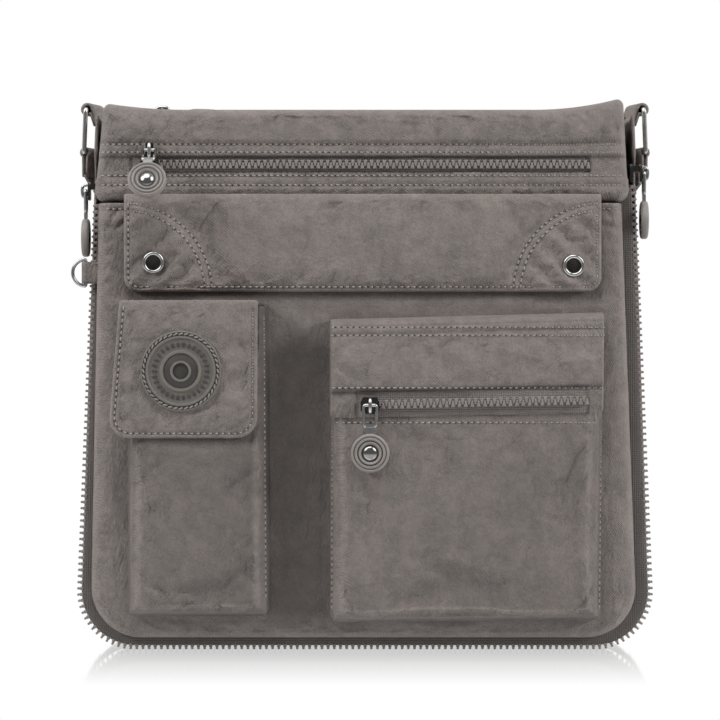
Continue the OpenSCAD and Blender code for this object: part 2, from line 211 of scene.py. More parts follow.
def nylon(name, colour, crinkle=1.0, weave=1.0):
    """Washed nylon: diagonal weave, fine crumple, blotchy dye, raised edges paled by rubbing, and painted
    shade where its point value is below 0.
    """
    made, start = new_material(name)
    place = start.node("ShaderNodeTexCoord", out=3)
    parts = [place.node("ShaderNodeSeparateXYZ", {}, {0: place}, out=k) for k in range(3)]
    across, up = parts[0] + parts[1], parts[2]
    twill = ((across + up) * (2 * math.pi / 0.0014)).maths("SINE")
    drawn = place.node("ShaderNodeVectorMath", {"operation": "MULTIPLY"}, {0: place, 1: (1.0, 1.0, 0.28)})
    streaks = noise_at(drawn, 0.005, 4, 0.6)
    rib = ((across - up * 0.35) * (2 * math.pi / 0.0021)).maths("SINE")
    crumple = noise_at(place, 0.011, 5, 0.62)
    ridges = (crumple - 0.5).maths("ABSOLUTE").maths("POWER", 0.6)
    folds = noise_at(place, 0.03, 4, 0.55)
    grain = noise_at(place, 0.0012, 2, 0.7)
    worn = start.node("ShaderNodeAttribute", {"attribute_name": "worn"}, out=2)
    blotch = noise_at(place, 0.013, 6, 0.72)
    tone = (blotch - 0.5) * 1.1 + (grain - 0.5) * 0.9 + (ridges - 0.3) * 0.5 + twill * 0.11
    tone = tone + (streaks - 0.5) * 0.45
    tone = tone + worn.maths("MAXIMUM", 0.0) * 0.5 + 0.48
    shade = tone.node("ShaderNodeClamp", {}, {0: tone})
    low = (colour[0] * 0.66, colour[1] * 0.69, colour[2] * 0.68)
    high = (colour[0] * 1.36, colour[1] * 1.33, colour[2] * 1.33)
    nylon_colour = mix_colours(shade, low, high)
    # Painted shade: where the point value is below 0 the colour is pulled towards a near-black copy of
    # itself.
    painted_shade_mix = worn.maths("MINIMUM", 0.0) * -1.0
    nylon_colour = mix_colours(painted_shade_mix, nylon_colour, tuple(c * 0.12 for c in colour))
    height = (twill * 0.06 + rib * 0.03) * weave + ridges * 1.1 * crinkle + folds * 1.9 * crinkle
    height = height + grain * 0.2 + streaks * 1.1 * crinkle
    bump = height.node("ShaderNodeBump", {}, {"Height": height, "Strength": 0.85, "Distance": 0.0012})
    rough = (blotch - 0.5) * 0.3 + 0.64
    inputs = {"Base Color": nylon_colour, "Roughness": rough, "Normal": bump, "Specular IOR Level": 0.22}
    skin = start.node("ShaderNodeBsdfPrincipled", {}, inputs)
    start.node("ShaderNodeOutputMaterial", {}, {0: skin})
    return made


cloth = nylon("crinkled_nylon", TAUPE)
lining = nylon("lining_nylon", DARK_TAUPE, crinkle=0.7)


def add_piece(name, verts, faces, material, worn=None):
    """A mesh object at the origin, smooth shaded, with an optional value at each point for rubbed edges and
    painted shade.
    """
    mesh = bpy.data.meshes.new(name)
    mesh.from_pydata([tuple(map(float, v)) for v in verts], [], faces)
    mesh.materials.append(material)
    if worn is not None:
        mesh.attributes.new("worn", "FLOAT", "POINT").data.foreach_set("value", worn)
    mesh.shade_smooth()
    obj = bpy.data.objects.new(name, mesh)
    scene.collection.objects.link(obj)
    return obj


def settle_modifiers(obj):
    """The object's evaluated mesh takes the place of its own, and its modifiers go."""
    graph = bpy.context.evaluated_depsgraph_get()
    graph.update()
    mesh = bpy.data.meshes.new_from_object(obj.evaluated_get(graph), preserve_all_data_layers=True,
                                           depsgraph=graph)
    obj.modifiers.clear()
    obj.data = mesh
    return obj


def thicken(obj, thickness, offset=-1):
    """Gives a sheet its thickness, on the inside or, with offset 0, on both sides."""
    wall = obj.modifiers.new("wall", "SOLIDIFY")
    wall.thickness, wall.offset, wall.use_even_offset = thickness, offset, False
    return settle_modifiers(obj)


def grid_faces(lines, across, flip=False):
    """Quads between neighbouring lines of points, each line with one more point than across."""
    row = across + 1
    faces = []
    for i in range(lines - 1):
        for j in range(across):
            a = i * row + j
            faces.append((a, a + row, a + row + 1, a + 1) if flip else (a, a + 1, a + row + 1, a + row))
    return faces


def mark_near(held, points, spots, reach):
    """Marks the points that are within reach of any spot, in X and Z."""
    part = 2000
    for k in range(0, len(points), part):
        apart = points[k:k + part, None, ::2] - spots[None]
        held[k:k + part] |= np.hypot(apart[..., 0], apart[..., 1]).min(1) < reach


def rumple(obj, pins, grow, border=0.004, reach=0.0022, limit=None):
    """Cloth grown a little between its seams, which are held, buckles into soft folds."""
    count = len(obj.data.vertices)
    start = np.empty(count * 3)
    obj.data.vertices.foreach_get("co", start)
    start = start.reshape(-1, 3)
    held = np.zeros(count, bool)
    for row in pins:
        mark_near(held, start, np.array(row), 0.0023)
    shape = bmesh.new()
    shape.from_mesh(obj.data)
    edge = np.array([v.co[:] for v in shape.verts if v.is_boundary])[:, ::2]
    shape.free()
    mark_near(held, start, edge, border)
    group = obj.vertex_groups.new(name="held")
    group.add([int(k) for k in np.flatnonzero(held)], 1.0, "REPLACE")
    buckle = obj.modifiers.new("buckle", "CLOTH")
    settings = buckle.settings
    settings.quality = 6
    settings.mass = 0.02
    settings.vertex_group_mass = "held"
    settings.shrink_min = -grow
    settings.tension_stiffness = settings.compression_stiffness = 30
    settings.shear_stiffness = 15
    settings.bending_stiffness = 0.05
    buckle.point_cache.frame_end = 16
    for frame_number in range(1, 17):
        scene.frame_set(frame_number)
    settle_modifiers(obj)
    scene.frame_set(1)
    end = np.empty(count * 3)
    obj.data.vertices.foreach_get("co", end)
    move = end.reshape(-1, 3) - start
    far = np.linalg.norm(move, axis=1)
    move *= (reach * np.tanh(far / reach) / np.maximum(far, 1e-9))[:, None]
    ends = start + move
    if limit:
        ends[:, 1] = [max(y, limit(x, z)) for x, y, z in ends]
    obj.data.vertices.foreach_set("co", ends.ravel())
    obj.data.update()
    obj.vertex_groups.clear()
    return obj


def unit(value):
    """The value kept between 0 and 1."""
    return min(max(value, 0), 1)


def belongs(obj, body, slot, *nodes):
    """The piece rides on a body and stands for some CAD nodes, which it hides; slot is not used."""
    if nodes:
        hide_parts(*nodes)
    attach(obj, body)
    return obj


def creases(x, z, size, seed):
    """Soft crumpled folds about size metres apart, from -1 to 1."""
    lean = 0.5 * noise.noise(Vector((x / size * 0.4, z / size * 0.4, seed + 2)))
    u, v = (x + lean * z) / size, (z - lean * x) / size
    soft = noise.noise(Vector((u, v, seed)))
    ridge = 1 - 2.2 * abs(noise.noise(Vector((u * 1.1, v * 0.7, seed + 9))))
    fine = noise.noise(Vector((u * 3.1, v * 2.3, seed + 4)))
    sharp = 1 - 2.4 * abs(noise.noise(Vector((u * 2.3, v * 1.7, seed + 14))))
    return 0.5 * soft + 0.4 * ridge ** 3 + 0.3 * fine + 0.3 * max(sharp, 0) ** 4


teeth_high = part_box("front_zip_teeth")[1]
gusset_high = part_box("rear_gusset")[1]
fold = next(j for j in frame["joints"] if j["name"] == "expansion_fold")
pivot = Vector(fold["pos_m"])
tilt = math.radians(fold["range_deg"][1])
HALF_LOW = teeth_high[0]
CORNER = 0.029
LEAN = 0.0413
TOP = gusset_high[2]
BACK = gusset_high[1]
ROW_GAP = 0.003


def round_the_bag(inset, top_left, top_right, step=0.002):
    """Points (x, z) and outward normals from the top left, round the base, to the top right."""
    spots = []
    x_corner = HALF_LOW - CORNER
    radius = CORNER - inset
    count = max(2, int((top_left - CORNER) / step))
    for k in range(count):
        z = top_left + (CORNER - top_left) * k / count
        spots.append((-(HALF_LOW - LEAN * (z - CORNER) - inset), z, -1.0, 0.0))
    arc = max(8, int(radius * math.pi / 2 / step))
    for k in range(arc):
        a = math.pi / 2 * k / arc
        nx, nz = -math.cos(a), -math.sin(a)
        spots.append((-x_corner + radius * nx, CORNER + radius * nz, nx, nz))
    flat = int(2 * x_corner / step)
    for k in range(flat):
        spots.append((-x_corner + 2 * x_corner * k / flat, inset, 0.0, -1.0))
    for k in range(arc):
        a = math.pi / 2 * k / arc
        nx, nz = math.sin(a), -math.cos(a)
        spots.append((x_corner + radius * nx, CORNER + radius * nz, nx, nz))
    count = max(2, int((top_right - CORNER) / step))
    for k in range(count + 1):
        z = CORNER + (top_right - CORNER) * k / count
        spots.append((HALF_LOW - LEAN * (z - CORNER) - inset, z, 1.0, 0.0))
    return spots


def row_y(z, behind):
    """Y of the plane that lies behind the rear row of teeth, at the height z."""
    return pivot.y + (ROW_GAP + behind) / math.cos(tilt) + max(0.0, pivot.z - z) * math.tan(tilt)


def strip_round(name, material, spots, depths, puff, across, seed):
    """A strip of cloth round the bag: depths(z) gives its two edges in Y, puff its swell."""
    verts, worn = [], []
    for x, z, nx, nz in spots:
        y0, y1 = depths(z)
        for j in range(across + 1):
            t = j / across
            y = y0 + (y1 - y0) * t
            bulge = math.sin(math.pi * t) ** 0.7
            along = x if abs(nz) > 0.7 else z
            swell = puff * bulge * (0.9 * creases(along, y * 1.6, 0.03, seed) - 0.25)
            if nz < -0.7:
                swell = min(swell, 0.0)
            verts.append((x + nx * swell, y, max(z + nz * swell, 0.0002)))
            worn.append(0.25 * (1 - bulge))
    return add_piece(name, verts, grid_faces(len(spots), across, True), material, worn)


def gusset_depths(z):
    front = row_y(z, 0.0098)
    open_top = pivot.y + ROW_GAP
    t = unit((z - 0.238) / 0.012)
    return front + (open_top - front) * t * t * (3 - 2 * t), BACK - 0.0005


gusset = strip_round("rear_gusset_cloth", cloth, round_the_bag(0.0, TOP, TOP), gusset_depths,
                     0.0022, 26, 3.0)
belongs(thicken(gusset, 0.0016), "back_half", "nylon", "rear_gusset")

# ---- Back panel ----
# The flat panel that lies against the wearer, of the same nylon with a plain lining.
# It is sewn to the gusset with a narrow turned seam, so it crowns slightly.


class Cut:
    """The outline of a cut of cloth: x limits at its lower and upper edges, and corner radii."""

    def __init__(self, low, high, z0, z1, r_low=0.0, r_high=0.0):
        self.low, self.high, self.z0, self.z1 = low, high, z0, z1
        self.r_low, self.r_high = r_low, r_high

    def sides(self, z):
        t = (z - self.z0) / (self.z1 - self.z0)
        return [a + (b - a) * t for a, b in zip(self.low, self.high)]

    def corner(self, z):
        below = z - self.z0 < self.z1 - z
        return (self.r_low, z - self.z0) if below else (self.r_high, self.z1 - z)

    def span(self, z):
        left, right = self.sides(z)
        radius, rise = self.corner(z)
        inset = 0.0
        if rise < radius:
            inset = radius - math.sqrt(max(radius**2 - (radius - rise) ** 2, 0))
        return left + inset, right - inset

    def depth_in(self, x, z):
        """How far a point is in from the nearest edge."""
        left, right = self.sides(z)
        radius, rise = self.corner(z)
        side = min(x - left, right - x)
        if side < radius and rise < radius:
            return max(radius - math.hypot(radius - side, radius - rise), 0.0)
        return max(min(side, rise), 0.0)

    def border(self, inset, start=0.0, step=0.003):
        """Points a distance inside the lower corners: down the left, along and up the right."""
        radius = max(self.r_low - inset, 0.0)
        points = []
        top = self.z1 - start
        low = self.z0 + self.r_low
        for k in range(int((top - low) / step) + 1):
            z = top - k * step
            points.append((self.sides(z)[0] + inset, z))
        left, right = self.sides(low)
        for side, centre in ((-1, left + self.r_low), (1, right - self.r_low)):
            turns = [math.pi / 2 * k / 6 for k in range(7)]
            for a in turns if side < 0 else reversed(turns):
                points.append((centre + side * radius * math.cos(a), low - radius * math.sin(a)))
        for k in range(int((top - low) / step) + 1):
            z = low + k * step
            points.append((self.sides(z)[1] - inset, z))
        return points


def straight_cut(x0, x1, z0, z1, r_low=0.0, r_high=0.0):
    """A cut with upright sides."""
    return Cut((x0, x1), (x0, x1), z0, z1, r_low, r_high)


def crowded(a, b, count, pull=0.75):
    """Numbers from a to b that crowd together towards both ends."""
    steps = np.linspace(0, 1, count)
    return a + (b - a) * (steps - pull * np.sin(2 * np.pi * steps) / (2 * np.pi))


def sheet_of(name, material, cut, surface, cols, rows, lines_x=(), lines_z=(), gaps=(), back=False):
    """A sheet of cloth over a cut: surface(x, z, depth in) gives its Y and its value for rubbed edges and
    painted shade.
    """
    zs = crowded(cut.z0, cut.z1, rows)
    for line in lines_z:
        zs[np.abs(zs - line).argmin()] = line
    grid = []
    for z in zs:
        xs = crowded(*cut.span(z), cols)
        for line in lines_x:
            xs[np.abs(xs - line).argmin()] = line
        grid.append([(x, z) for x in np.sort(xs)])
    verts, worn = [], []
    for line in grid:
        for x, z in line:
            made = surface(x, z, cut.depth_in(x, z))
            y, wear_and_shade_value, rise = made if len(made) == 3 else (*made, 0.0)
            verts.append((x, y, z + rise))
            worn.append(wear_and_shade_value)
    faces = []
    for j in range(rows - 1):
        for i in range(cols - 1):
            x = (grid[j][i][0] + grid[j + 1][i + 1][0]) / 2
            z = (zs[j] + zs[j + 1]) / 2
            if any(g[0] < x < g[1] and g[2] < z < g[3] for g in gaps):
                continue
            a = j * cols + i
            quad = (a, a + 1, a + cols + 1, a + cols)
            faces.append(quad[::-1] if back else quad)
    obj = add_piece(name, verts, faces, material, worn)
    tidy = bmesh.new()
    tidy.from_mesh(obj.data)
    loose = [v for v in tidy.verts if not v.link_faces]
    bmesh.ops.delete(tidy, geom=loose, context="VERTS")
    bmesh.ops.remove_doubles(tidy, verts=tidy.verts, dist=1e-6)
    tidy.to_mesh(obj.data)
    tidy.free()
    return obj


def rolled(depth, width, power=2.2):
    """The profile of a soft rolled edge, 0 at the edge and 1 from width inwards."""
    t = min(max(depth / width, 0.0), 1.0)
    return (1 - (1 - t) ** power) ** (1 / power)


def channel(distance, width):
    """The dip that a row of stitches pulls into cloth, 1 on the row and 0 from width away."""
    t = min(abs(distance) / width, 1.0)
    return (1 - t * t) ** 2


back_cut = Cut((-HALF_LOW + 0.0023, HALF_LOW - 0.0023), (-0.1318, 0.1318), 0.0025, TOP, 0.028)


def back_surface(x, z, inside):
    swell = rolled(inside, 0.012) * 0.0016 + 0.0010 * rolled(inside, 0.05) * creases(x, z, 0.06, 21.0)
    return BACK - 0.0016 + swell - 0.0009 * channel(inside - 0.005, 0.002), 0.3 * channel(inside, 0.003)


back_sheet = sheet_of("back_panel_cloth", cloth, back_cut, back_surface, 110, 110, back=True)
belongs(thicken(back_sheet, 0.0014), "back_half", "nylon", "back_panel")

# ---- Stitching ----
# Every seam is lockstitched with bonded polyester thread of the bag's own colour.
# Each row has a stitch every 3 mm, a little over half of it thread on the outside.


def thread_material(name, colour):
    """Twisted bonded thread with a faint gloss."""
    low, high = tuple(c * 0.7 for c in colour), tuple(c * 1.35 for c in colour)
    return one_noise_material(name, (0.0006, 2), low, high, 0.5, bump=(0.5, 0.0002))


thread = thread_material("bonded_thread", (0.30, 0.272, 0.255))
# Near-black dots between the stitches are painted shade in the needle holes.
needle_hole_shade = thread_material("needle_hole_shade", (0.035, 0.031, 0.028))


def joined(name, objs):
    """Several mesh objects as one."""
    with bpy.context.temp_override(active_object=objs[0], selected_editable_objects=objs):
        if len(objs) > 1:
            bpy.ops.object.join()
    objs[0].name = name
    return objs[0]


def tree_with(name, *sockets):
    """A Geometry Nodes tree with named inputs, and the nodes at its two ends."""
    tree = bpy.data.node_groups.new(name, "GeometryNodeTree")
    tree.interface.new_socket("Geometry", in_out="INPUT", socket_type="NodeSocketGeometry")
    for label, kind in sockets:
        tree.interface.new_socket(label, in_out="INPUT", socket_type="NodeSocket" + kind)
    tree.interface.new_socket("Geometry", in_out="OUTPUT", socket_type="NodeSocketGeometry")
    return tree, tree.nodes.new("NodeGroupInput")


def from_input(tree, given, label):
    return Value(tree, given.outputs[label])


def placed(tree, given, points, piece, turn, size=None):
    """Ends a tree: the piece at each point, turned and sized, as real mesh with its material."""
    inputs = {"Points": points, "Instance": piece, "Rotation": turn}
    if size:
        inputs["Scale"] = from_input(tree, given, size)
    many = points.node("GeometryNodeInstanceOnPoints", {}, inputs)
    real = many.node("GeometryNodeRealizeInstances", {}, {0: many})
    finish = {"Geometry": real, "Material": from_input(tree, given, "Material")}
    done = real.node("GeometryNodeSetMaterial", {}, finish)
    done.node("NodeGroupOutput", {}, {0: done})


def along_paths(name, tree, paths, material, **inputs):
    """Runs a tree on open paths, and returns the plain mesh object that it makes."""
    verts, edges = [], []
    for path in paths:
        edges += [(len(verts) + k, len(verts) + k + 1) for k in range(len(path) - 1)]
        verts += [tuple(p) for p in path]
    mesh = bpy.data.meshes.new(name)
    mesh.from_pydata(verts, edges, [])
    obj = bpy.data.objects.new(name, mesh)
    scene.collection.objects.link(obj)
    made = obj.modifiers.new(name, "NODES")
    made.node_group = tree
    values = {"Material": material, **inputs}
    for item in tree.interface.items_tree:
        if item.in_out == "INPUT" and item.name in values:
            made[item.identifier] = values[item.name]
    settle_modifiers(obj)
    obj.data.shade_smooth()
    return obj


STITCH_PITCH = 0.003
stitch_tree, given = tree_with("stitch_row", ("Pitch", "Float"), ("Stitch", "Vector"),
                               ("Material", "Material"))
start = Value(stitch_tree)
line = start.node("GeometryNodeMeshToCurve", {}, {0: from_input(stitch_tree, given, "Geometry")})
points = start.node("GeometryNodeResampleCurve", {"mode": "LENGTH"},
                    {"Curve": line, "Length": from_input(stitch_tree, given, "Pitch")})
stitch = start.node("GeometryNodeMeshIcoSphere", {}, {"Radius": 0.5, "Subdivisions": 2})
tangent = start.node("GeometryNodeInputTangent")
turn = start.node("FunctionNodeAlignRotationToVector", {"axis": "X"}, {"Vector": tangent})
waver = start.node("FunctionNodeRandomValue", {"data_type": "FLOAT_VECTOR"},
                   {0: (-0.05, -0.05, -0.05), 1: (0.05, 0.05, 0.05), "Seed": 7})
waver = start.node("FunctionNodeEulerToRotation", {}, {0: waver})
turn = start.node("FunctionNodeRotateRotation", {"rotation_space": "LOCAL"}, {0: turn, 1: waver})
placed(stitch_tree, given, points, stitch, turn, "Stitch")


def sew(name, body, paths):
    """Rows of stitches on the cloth, each with a dark dot of painted shade for the needle hole between it
    and the next.
    """
    rows = along_paths(name, stitch_tree, paths, thread, Pitch=STITCH_PITCH, Stitch=(0.0021, 0.0007, 0.0008))
    between = [list(path) for path in paths]
    for path in between:
        way = (Vector(path[1]) - Vector(path[0])).normalized()
        path[0] = tuple(Vector(path[0]) + way * (STITCH_PITCH / 2))
    holes = along_paths(name + "_holes", stitch_tree, between, needle_hole_shade, Pitch=STITCH_PITCH,
                        Stitch=(0.0012, 0.0007, 0.0009))
    return belongs(joined(name, [rows, holes]), body, "nylon")


def on_cloth(flat_path, obj):
    """A path in X and Z, laid on the front of a piece as it has settled."""
    tree = BVHTree.FromPolygons([v.co for v in obj.data.vertices], [p.vertices for p in obj.data.polygons])
    path = []
    for x, z in flat_path:
        hit = tree.ray_cast(Vector((x, -0.2, z)), Vector((0, 1, 0)))[0]
        if hit and hit.y < (path[-1][1] + 0.004 if path else 1):
            path.append((x, hit.y - 0.0001, z))
    return path


def on_surface(flat_path, surface, cut, lift=0.0001):
    """A path in X and Z, laid on a sheet's surface."""
    path = []
    for x, z in flat_path:
        made = surface(x, z, cut.depth_in(x, z))
        path.append((x, made[0] - lift, z + (made[2] if len(made) == 3 else 0)))
    return path


def ring_of(x, z, radius, turns, side=1):
    """Points in X and Z round a centre, at angles from its side."""
    return [(x + side * radius * math.cos(a), z + radius * math.sin(a)) for a in turns]


def level_row(x0, x1, z0, z1=None, step=0.003):
    """A straight row of points from one end to the other."""
    count = max(int(abs(x1 - x0) / step), 2)
    end = z0 if z1 is None else z1
    return [(x0 + (x1 - x0) * k / count, z0 + (end - z0) * k / count) for k in range(count + 1)]


border = back_cut.border(0.005, 0.004)
sew("back_panel_stitches", "back_half", [on_surface(border, back_surface, back_cut, -0.0001)])
gusset_line = [(x, BACK - 0.005, max(z, 0.0004)) for x, z, nx, nz in round_the_bag(-0.0003, TOP, TOP, 0.003)]
sew("gusset_stitches", "back_half", [gusset_line])

# ---- Expansion zip ----
# A No. 5 moulded zip runs down both sides and under the base, undone so that the bag is wide.
# Its woven tapes are sewn to the front half and to the gusset; the teeth point outwards.


def woven_tape(name, low, high):
    """Ribbed polyester tape, a little grubby."""
    made, start = new_material(name)
    place = start.node("ShaderNodeTexCoord", out=3)
    parts = [place.node("ShaderNodeSeparateXYZ", {}, {0: place}, out=k) for k in range(3)]
    ribs = ((parts[0] + parts[1]) * (2 * math.pi / 0.0011)).maths("SINE")
    picks = (parts[2] * (2 * math.pi / 0.0011)).maths("SINE")
    dirt = noise_at(place, 0.012, 3)
    height = ribs * 0.4 + picks * 0.4 + dirt
    bump = height.node("ShaderNodeBump", {}, {"Height": height, "Strength": 0.5, "Distance": 0.0004})
    inputs = {"Base Color": mix_colours(dirt, low, high), "Roughness": dirt * 0.2 + 0.65, "Normal": bump}
    skin = start.node("ShaderNodeBsdfPrincipled", {}, inputs)
    start.node("ShaderNodeOutputMaterial", {}, {0: skin})
    return made


tape_material = woven_tape("woven_zip_tape", (0.175, 0.156, 0.146), (0.265, 0.238, 0.224))
# A darker copy of the tape for the expansion zip: partly the tape's own colour, partly painted shade.
dark_tape = woven_tape("shaded_zip_tape", (0.070, 0.062, 0.058), (0.120, 0.107, 0.100))

teeth_material = one_noise_material("moulded_zip_teeth", (0.004, 3), (0.170, 0.152, 0.142),
                                    (0.270, 0.243, 0.228), 0.25, 0.25, (0.15, 0.0003))

# One moulded tooth: a foot that grips the tape, a waist and a rounded head, heads towards -Z
TOOTH = [(-0.85, 2.1), (0.85, 2.1), (0.85, 0.7), (0.48, 0.05), (0.66, -0.5), (0.38, -1.0),
         (-0.38, -1.0), (-0.66, -0.5), (-0.48, 0.05), (-0.85, 0.7)]
tooth_mesh = bpy.data.meshes.new("tooth")
shape = bmesh.new()
ring = [shape.verts.new((x / 1000, -0.00115, z / 1000)) for x, z in TOOTH]
face = shape.faces.new(ring)
sweep = bmesh.ops.extrude_face_region(shape, geom=[face])
moved = [v for v in sweep["geom"] if isinstance(v, bmesh.types.BMVert)]
bmesh.ops.translate(shape, verts=moved, vec=(0, 0.0023, 0))
rims = [e for e in shape.edges if abs(e.verts[0].co.y - e.verts[1].co.y) < 1e-6]
bmesh.ops.bevel(shape, geom=rims, offset=0.00028, segments=1, affect="EDGES")
bmesh.ops.recalc_face_normals(shape, faces=shape.faces)
shape.to_mesh(tooth_mesh)
shape.free()
tooth = bpy.data.objects.new("tooth", tooth_mesh)

teeth_tree, given = tree_with("zip_teeth", ("Pitch", "Float"), ("Flip", "Float"), ("Tooth", "Object"),
                              ("Material", "Material"))
start = Value(teeth_tree)
line = start.node("GeometryNodeMeshToCurve", {}, {0: from_input(teeth_tree, given, "Geometry")})
points = start.node("GeometryNodeResampleCurve", {"mode": "LENGTH"},
                    {"Curve": line, "Length": from_input(teeth_tree, given, "Pitch")})
held = start.node("GeometryNodeObjectInfo", {}, {0: from_input(teeth_tree, given, "Tooth")}, out=4)
tangent = start.node("GeometryNodeInputTangent")
turn = start.node("FunctionNodeAlignRotationToVector", {"axis": "X", "pivot_axis": "Y"}, {"Vector": tangent})
over = start.node("ShaderNodeCombineXYZ", {}, {0: from_input(teeth_tree, given, "Flip")})
over = start.node("FunctionNodeEulerToRotation", {}, {0: over})
turn = start.node("FunctionNodeRotateRotation", {"rotation_space": "LOCAL"}, {0: turn, 1: over})
placed(teeth_tree, given, points, held, turn)
PITCH = 0.0031


def teeth_along(name, path, flip=0.0):
    row = along_paths(name, teeth_tree, [path], teeth_material, Pitch=PITCH, Flip=flip, Tooth=tooth)
    row.data.set_sharp_from_angle(angle=math.radians(35))
    return row


def chain(name, x0, x1, y, z):
    """Two rows of meshed teeth along X, facing -Y."""
    lower = teeth_along(name + "_lower", [(x0, y, z - 0.0001), (x1, y, z - 0.0001)], math.pi)
    upper = teeth_along(name + "_upper", [(x0 + PITCH / 2, y, z + 0.0001), (x1 - PITCH / 2, y, z + 0.0001)])
    return joined(name, [lower, upper])


LEFT_TOP, RIGHT_TOP = 0.2225, 0.232
front_row = [(x, pivot.y, z) for x, z, nx, nz in round_the_bag(0.0002, LEFT_TOP, RIGHT_TOP)]
belongs(teeth_along("front_expansion_teeth", front_row), "front_half", "zip_teeth", "front_zip_teeth")
lean = Matrix.Translation(pivot) @ Matrix.Rotation(tilt, 4, "X") @ Matrix.Translation(-pivot)
rear_row = [(x, pivot.y + ROW_GAP + 0.0012, z)
            for x, z, nx, nz in round_the_bag(0.0012, LEFT_TOP, RIGHT_TOP)]
rear_teeth = teeth_along("rear_expansion_teeth", rear_row)
rear_teeth.data.transform(lean)
belongs(rear_teeth, "back_half", "zip_teeth", "rear_zip_teeth")


def flange(name, inset0, inset1, y, top_left, top_right):
    """A flat strip of tape that lies in the plane of the front, between two insets."""
    outer = round_the_bag(inset0, top_left, top_right)
    verts = []
    across = 4
    for x, z, nx, nz in outer:
        for j in range(across + 1):
            d = (inset1 - inset0) * j / across
            ripple = 0.0004 * creases(x, z + d, 0.02, 5.0)
            verts.append((x - nx * d, y + ripple, z - nz * d))
    return thicken(add_piece(name, verts, grid_faces(len(outer), across), dark_tape), 0.0008)


front_tape = flange("front_expansion_tape", 0.0016, 0.0105, pivot.y - 0.0003, LEFT_TOP, RIGHT_TOP)
belongs(front_tape, "front_half", "zip_tape", "front_zip_tape")


def rear_tape_depths(z):
    return row_y(z, 0.0016), row_y(z, 0.0104)


rear_tape = strip_round("rear_expansion_tape", dark_tape, round_the_bag(0.0007, LEFT_TOP, RIGHT_TOP),
                        rear_tape_depths, 0.0002, 4, 8.0)
belongs(thicken(rear_tape, 0.0008), "back_half", "zip_tape", "rear_zip_tape")


def bellows_depths(z):
    return pivot.y + 0.0004, row_y(z, 0.0095)


bellows = strip_round("bellows_cloth", lining, round_the_bag(0.0052, 0.2215, 0.2215), bellows_depths,
                      0.0016, 22, 12.0)
belongs(thicken(bellows, 0.0010), "front_half", "lining", "bellows")

# ---- Front wall and slip pocket ----
# The front half is a lined wall with an outer layer sewn on along the sides and base only.
# The open top of the outer layer makes a slip pocket, and its hem dips under the main flap.
wall_cut = Cut((-0.1355, 0.1355), (-0.1272, 0.1272), 0.0085, 0.2345, 0.022)


def wall_surface(x, z, inside):
    return pivot.y - 0.0004 + 0.0006 * creases(x, z, 0.05, 2.0), 0.0


wall = sheet_of("front_wall_cloth", lining, wall_cut, wall_surface, 60, 60)
belongs(thicken(wall, 0.0010), "front_half", "lining", "front_wall")

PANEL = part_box("front_panel")[0][1]
panel_cut = Cut((-0.1381, 0.1370), (-0.1340, 0.1290), 0.0055, 0.2235, 0.0262)


def near_box(x, z, x0, x1, z0, z1, reach):
    """1 inside a box, fading to 0 over some distance outside it."""
    dx, dz = max(x0 - x, x - x1, 0.0), max(z0 - z, z - z1, 0.0)
    return math.exp(-math.hypot(dx, dz) / reach)


def panel_painted_shade(x, z):
    """Painted shade: the panel is darker between the pockets, round them and under the flap."""
    gap = near_box(x, z, -0.042, -0.021, 0.02, 0.15, 0.008) * 0.46
    round_them = max(near_box(x, z, -0.117, -0.048, 0.02, 0.17, 0.006),
                     near_box(x, z, -0.016, 0.117, 0.018, 0.16, 0.006)) * 0.26
    under = near_box(x, z, -0.115, 0.113, 0.181, 0.21, 0.008) * 0.50
    return max(gap + round_them * 0.6, round_them, under)


def panel_surface(x, z, inside):
    side_in = min(x - panel_cut.sides(z)[0], panel_cut.sides(z)[1] - x, z - panel_cut.z0)
    full = rolled(min(inside, side_in) if z < 0.2 else max(side_in, 0.0), 0.0062)
    base = pivot.y - 0.0006
    face = PANEL + 0.0008
    lively = rolled(side_in, 0.03)
    fold_lines = 0.0011 * creases(x, z, 0.055, 31.0) * lively + 0.0005 * creases(x, z, 0.017, 37.0)
    hem = 0.0007 * channel(z - 0.2205, 0.0022)
    pucker = 0.0004 * math.sin(z * 900) * channel(side_in - 0.008, 0.008)
    scoop = -0.009 * math.exp(-((x / 0.075) ** 4)) * unit((z - 0.17) / 0.053)
    # Rolled edges are paler from rubbing; the shade of the pockets and flap, and the darker line along the
    # hem row, are painted shade.
    wear_and_shade_value = 0.45 * channel(inside, 0.004) - panel_painted_shade(x, z) - 0.2 * channel(z - 0.2205, 0.0012)
    return base + (face - base) * full - fold_lines * full + hem + pucker, wear_and_shade_value, scoop


panel = sheet_of("front_panel_cloth", cloth, panel_cut, panel_surface, 150, 120)
hem_row = level_row(-0.1285, 0.125, 0.2205)
rumple(panel, [hem_row], 0.035, limit=lambda x, z: PANEL - (0.0005 if z > 0.175 else 0.0028))
belongs(thicken(panel, 0.0012), "front_half", "nylon", "front_panel")
sew("front_panel_stitches", "front_half", [on_cloth(hem_row, panel)])

# ---- Yoke pocket ----
# The upper section is a zipped pocket as wide as the bag, in two pieces that meet at its zip.
# Each is turned under and topstitched twice, and the upper fold overhangs the teeth.
yoke_low, yoke_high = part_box("yoke_pocket")
YOKE = yoke_low[1]
YOKE_ROWS = (0.2528, 0.2488, 0.2372, 0.2324)
yoke_cut = Cut((-0.1364, 0.1330), (-0.1316, 0.1300), yoke_low[2] - 0.0005, yoke_high[2], 0.0075, 0.004)
yoke_gap = (-0.1172, 0.1126, 0.2388, 0.2470)


def window(x, z, gap, width):
    """1 at the edge of a zip's window, falling to 0 width away from it."""
    dx = max(gap[0] - x, x - gap[1], 0.0)
    dz = max(gap[2] - z, z - gap[3], 0.0)
    return channel(math.hypot(dx, dz), width)


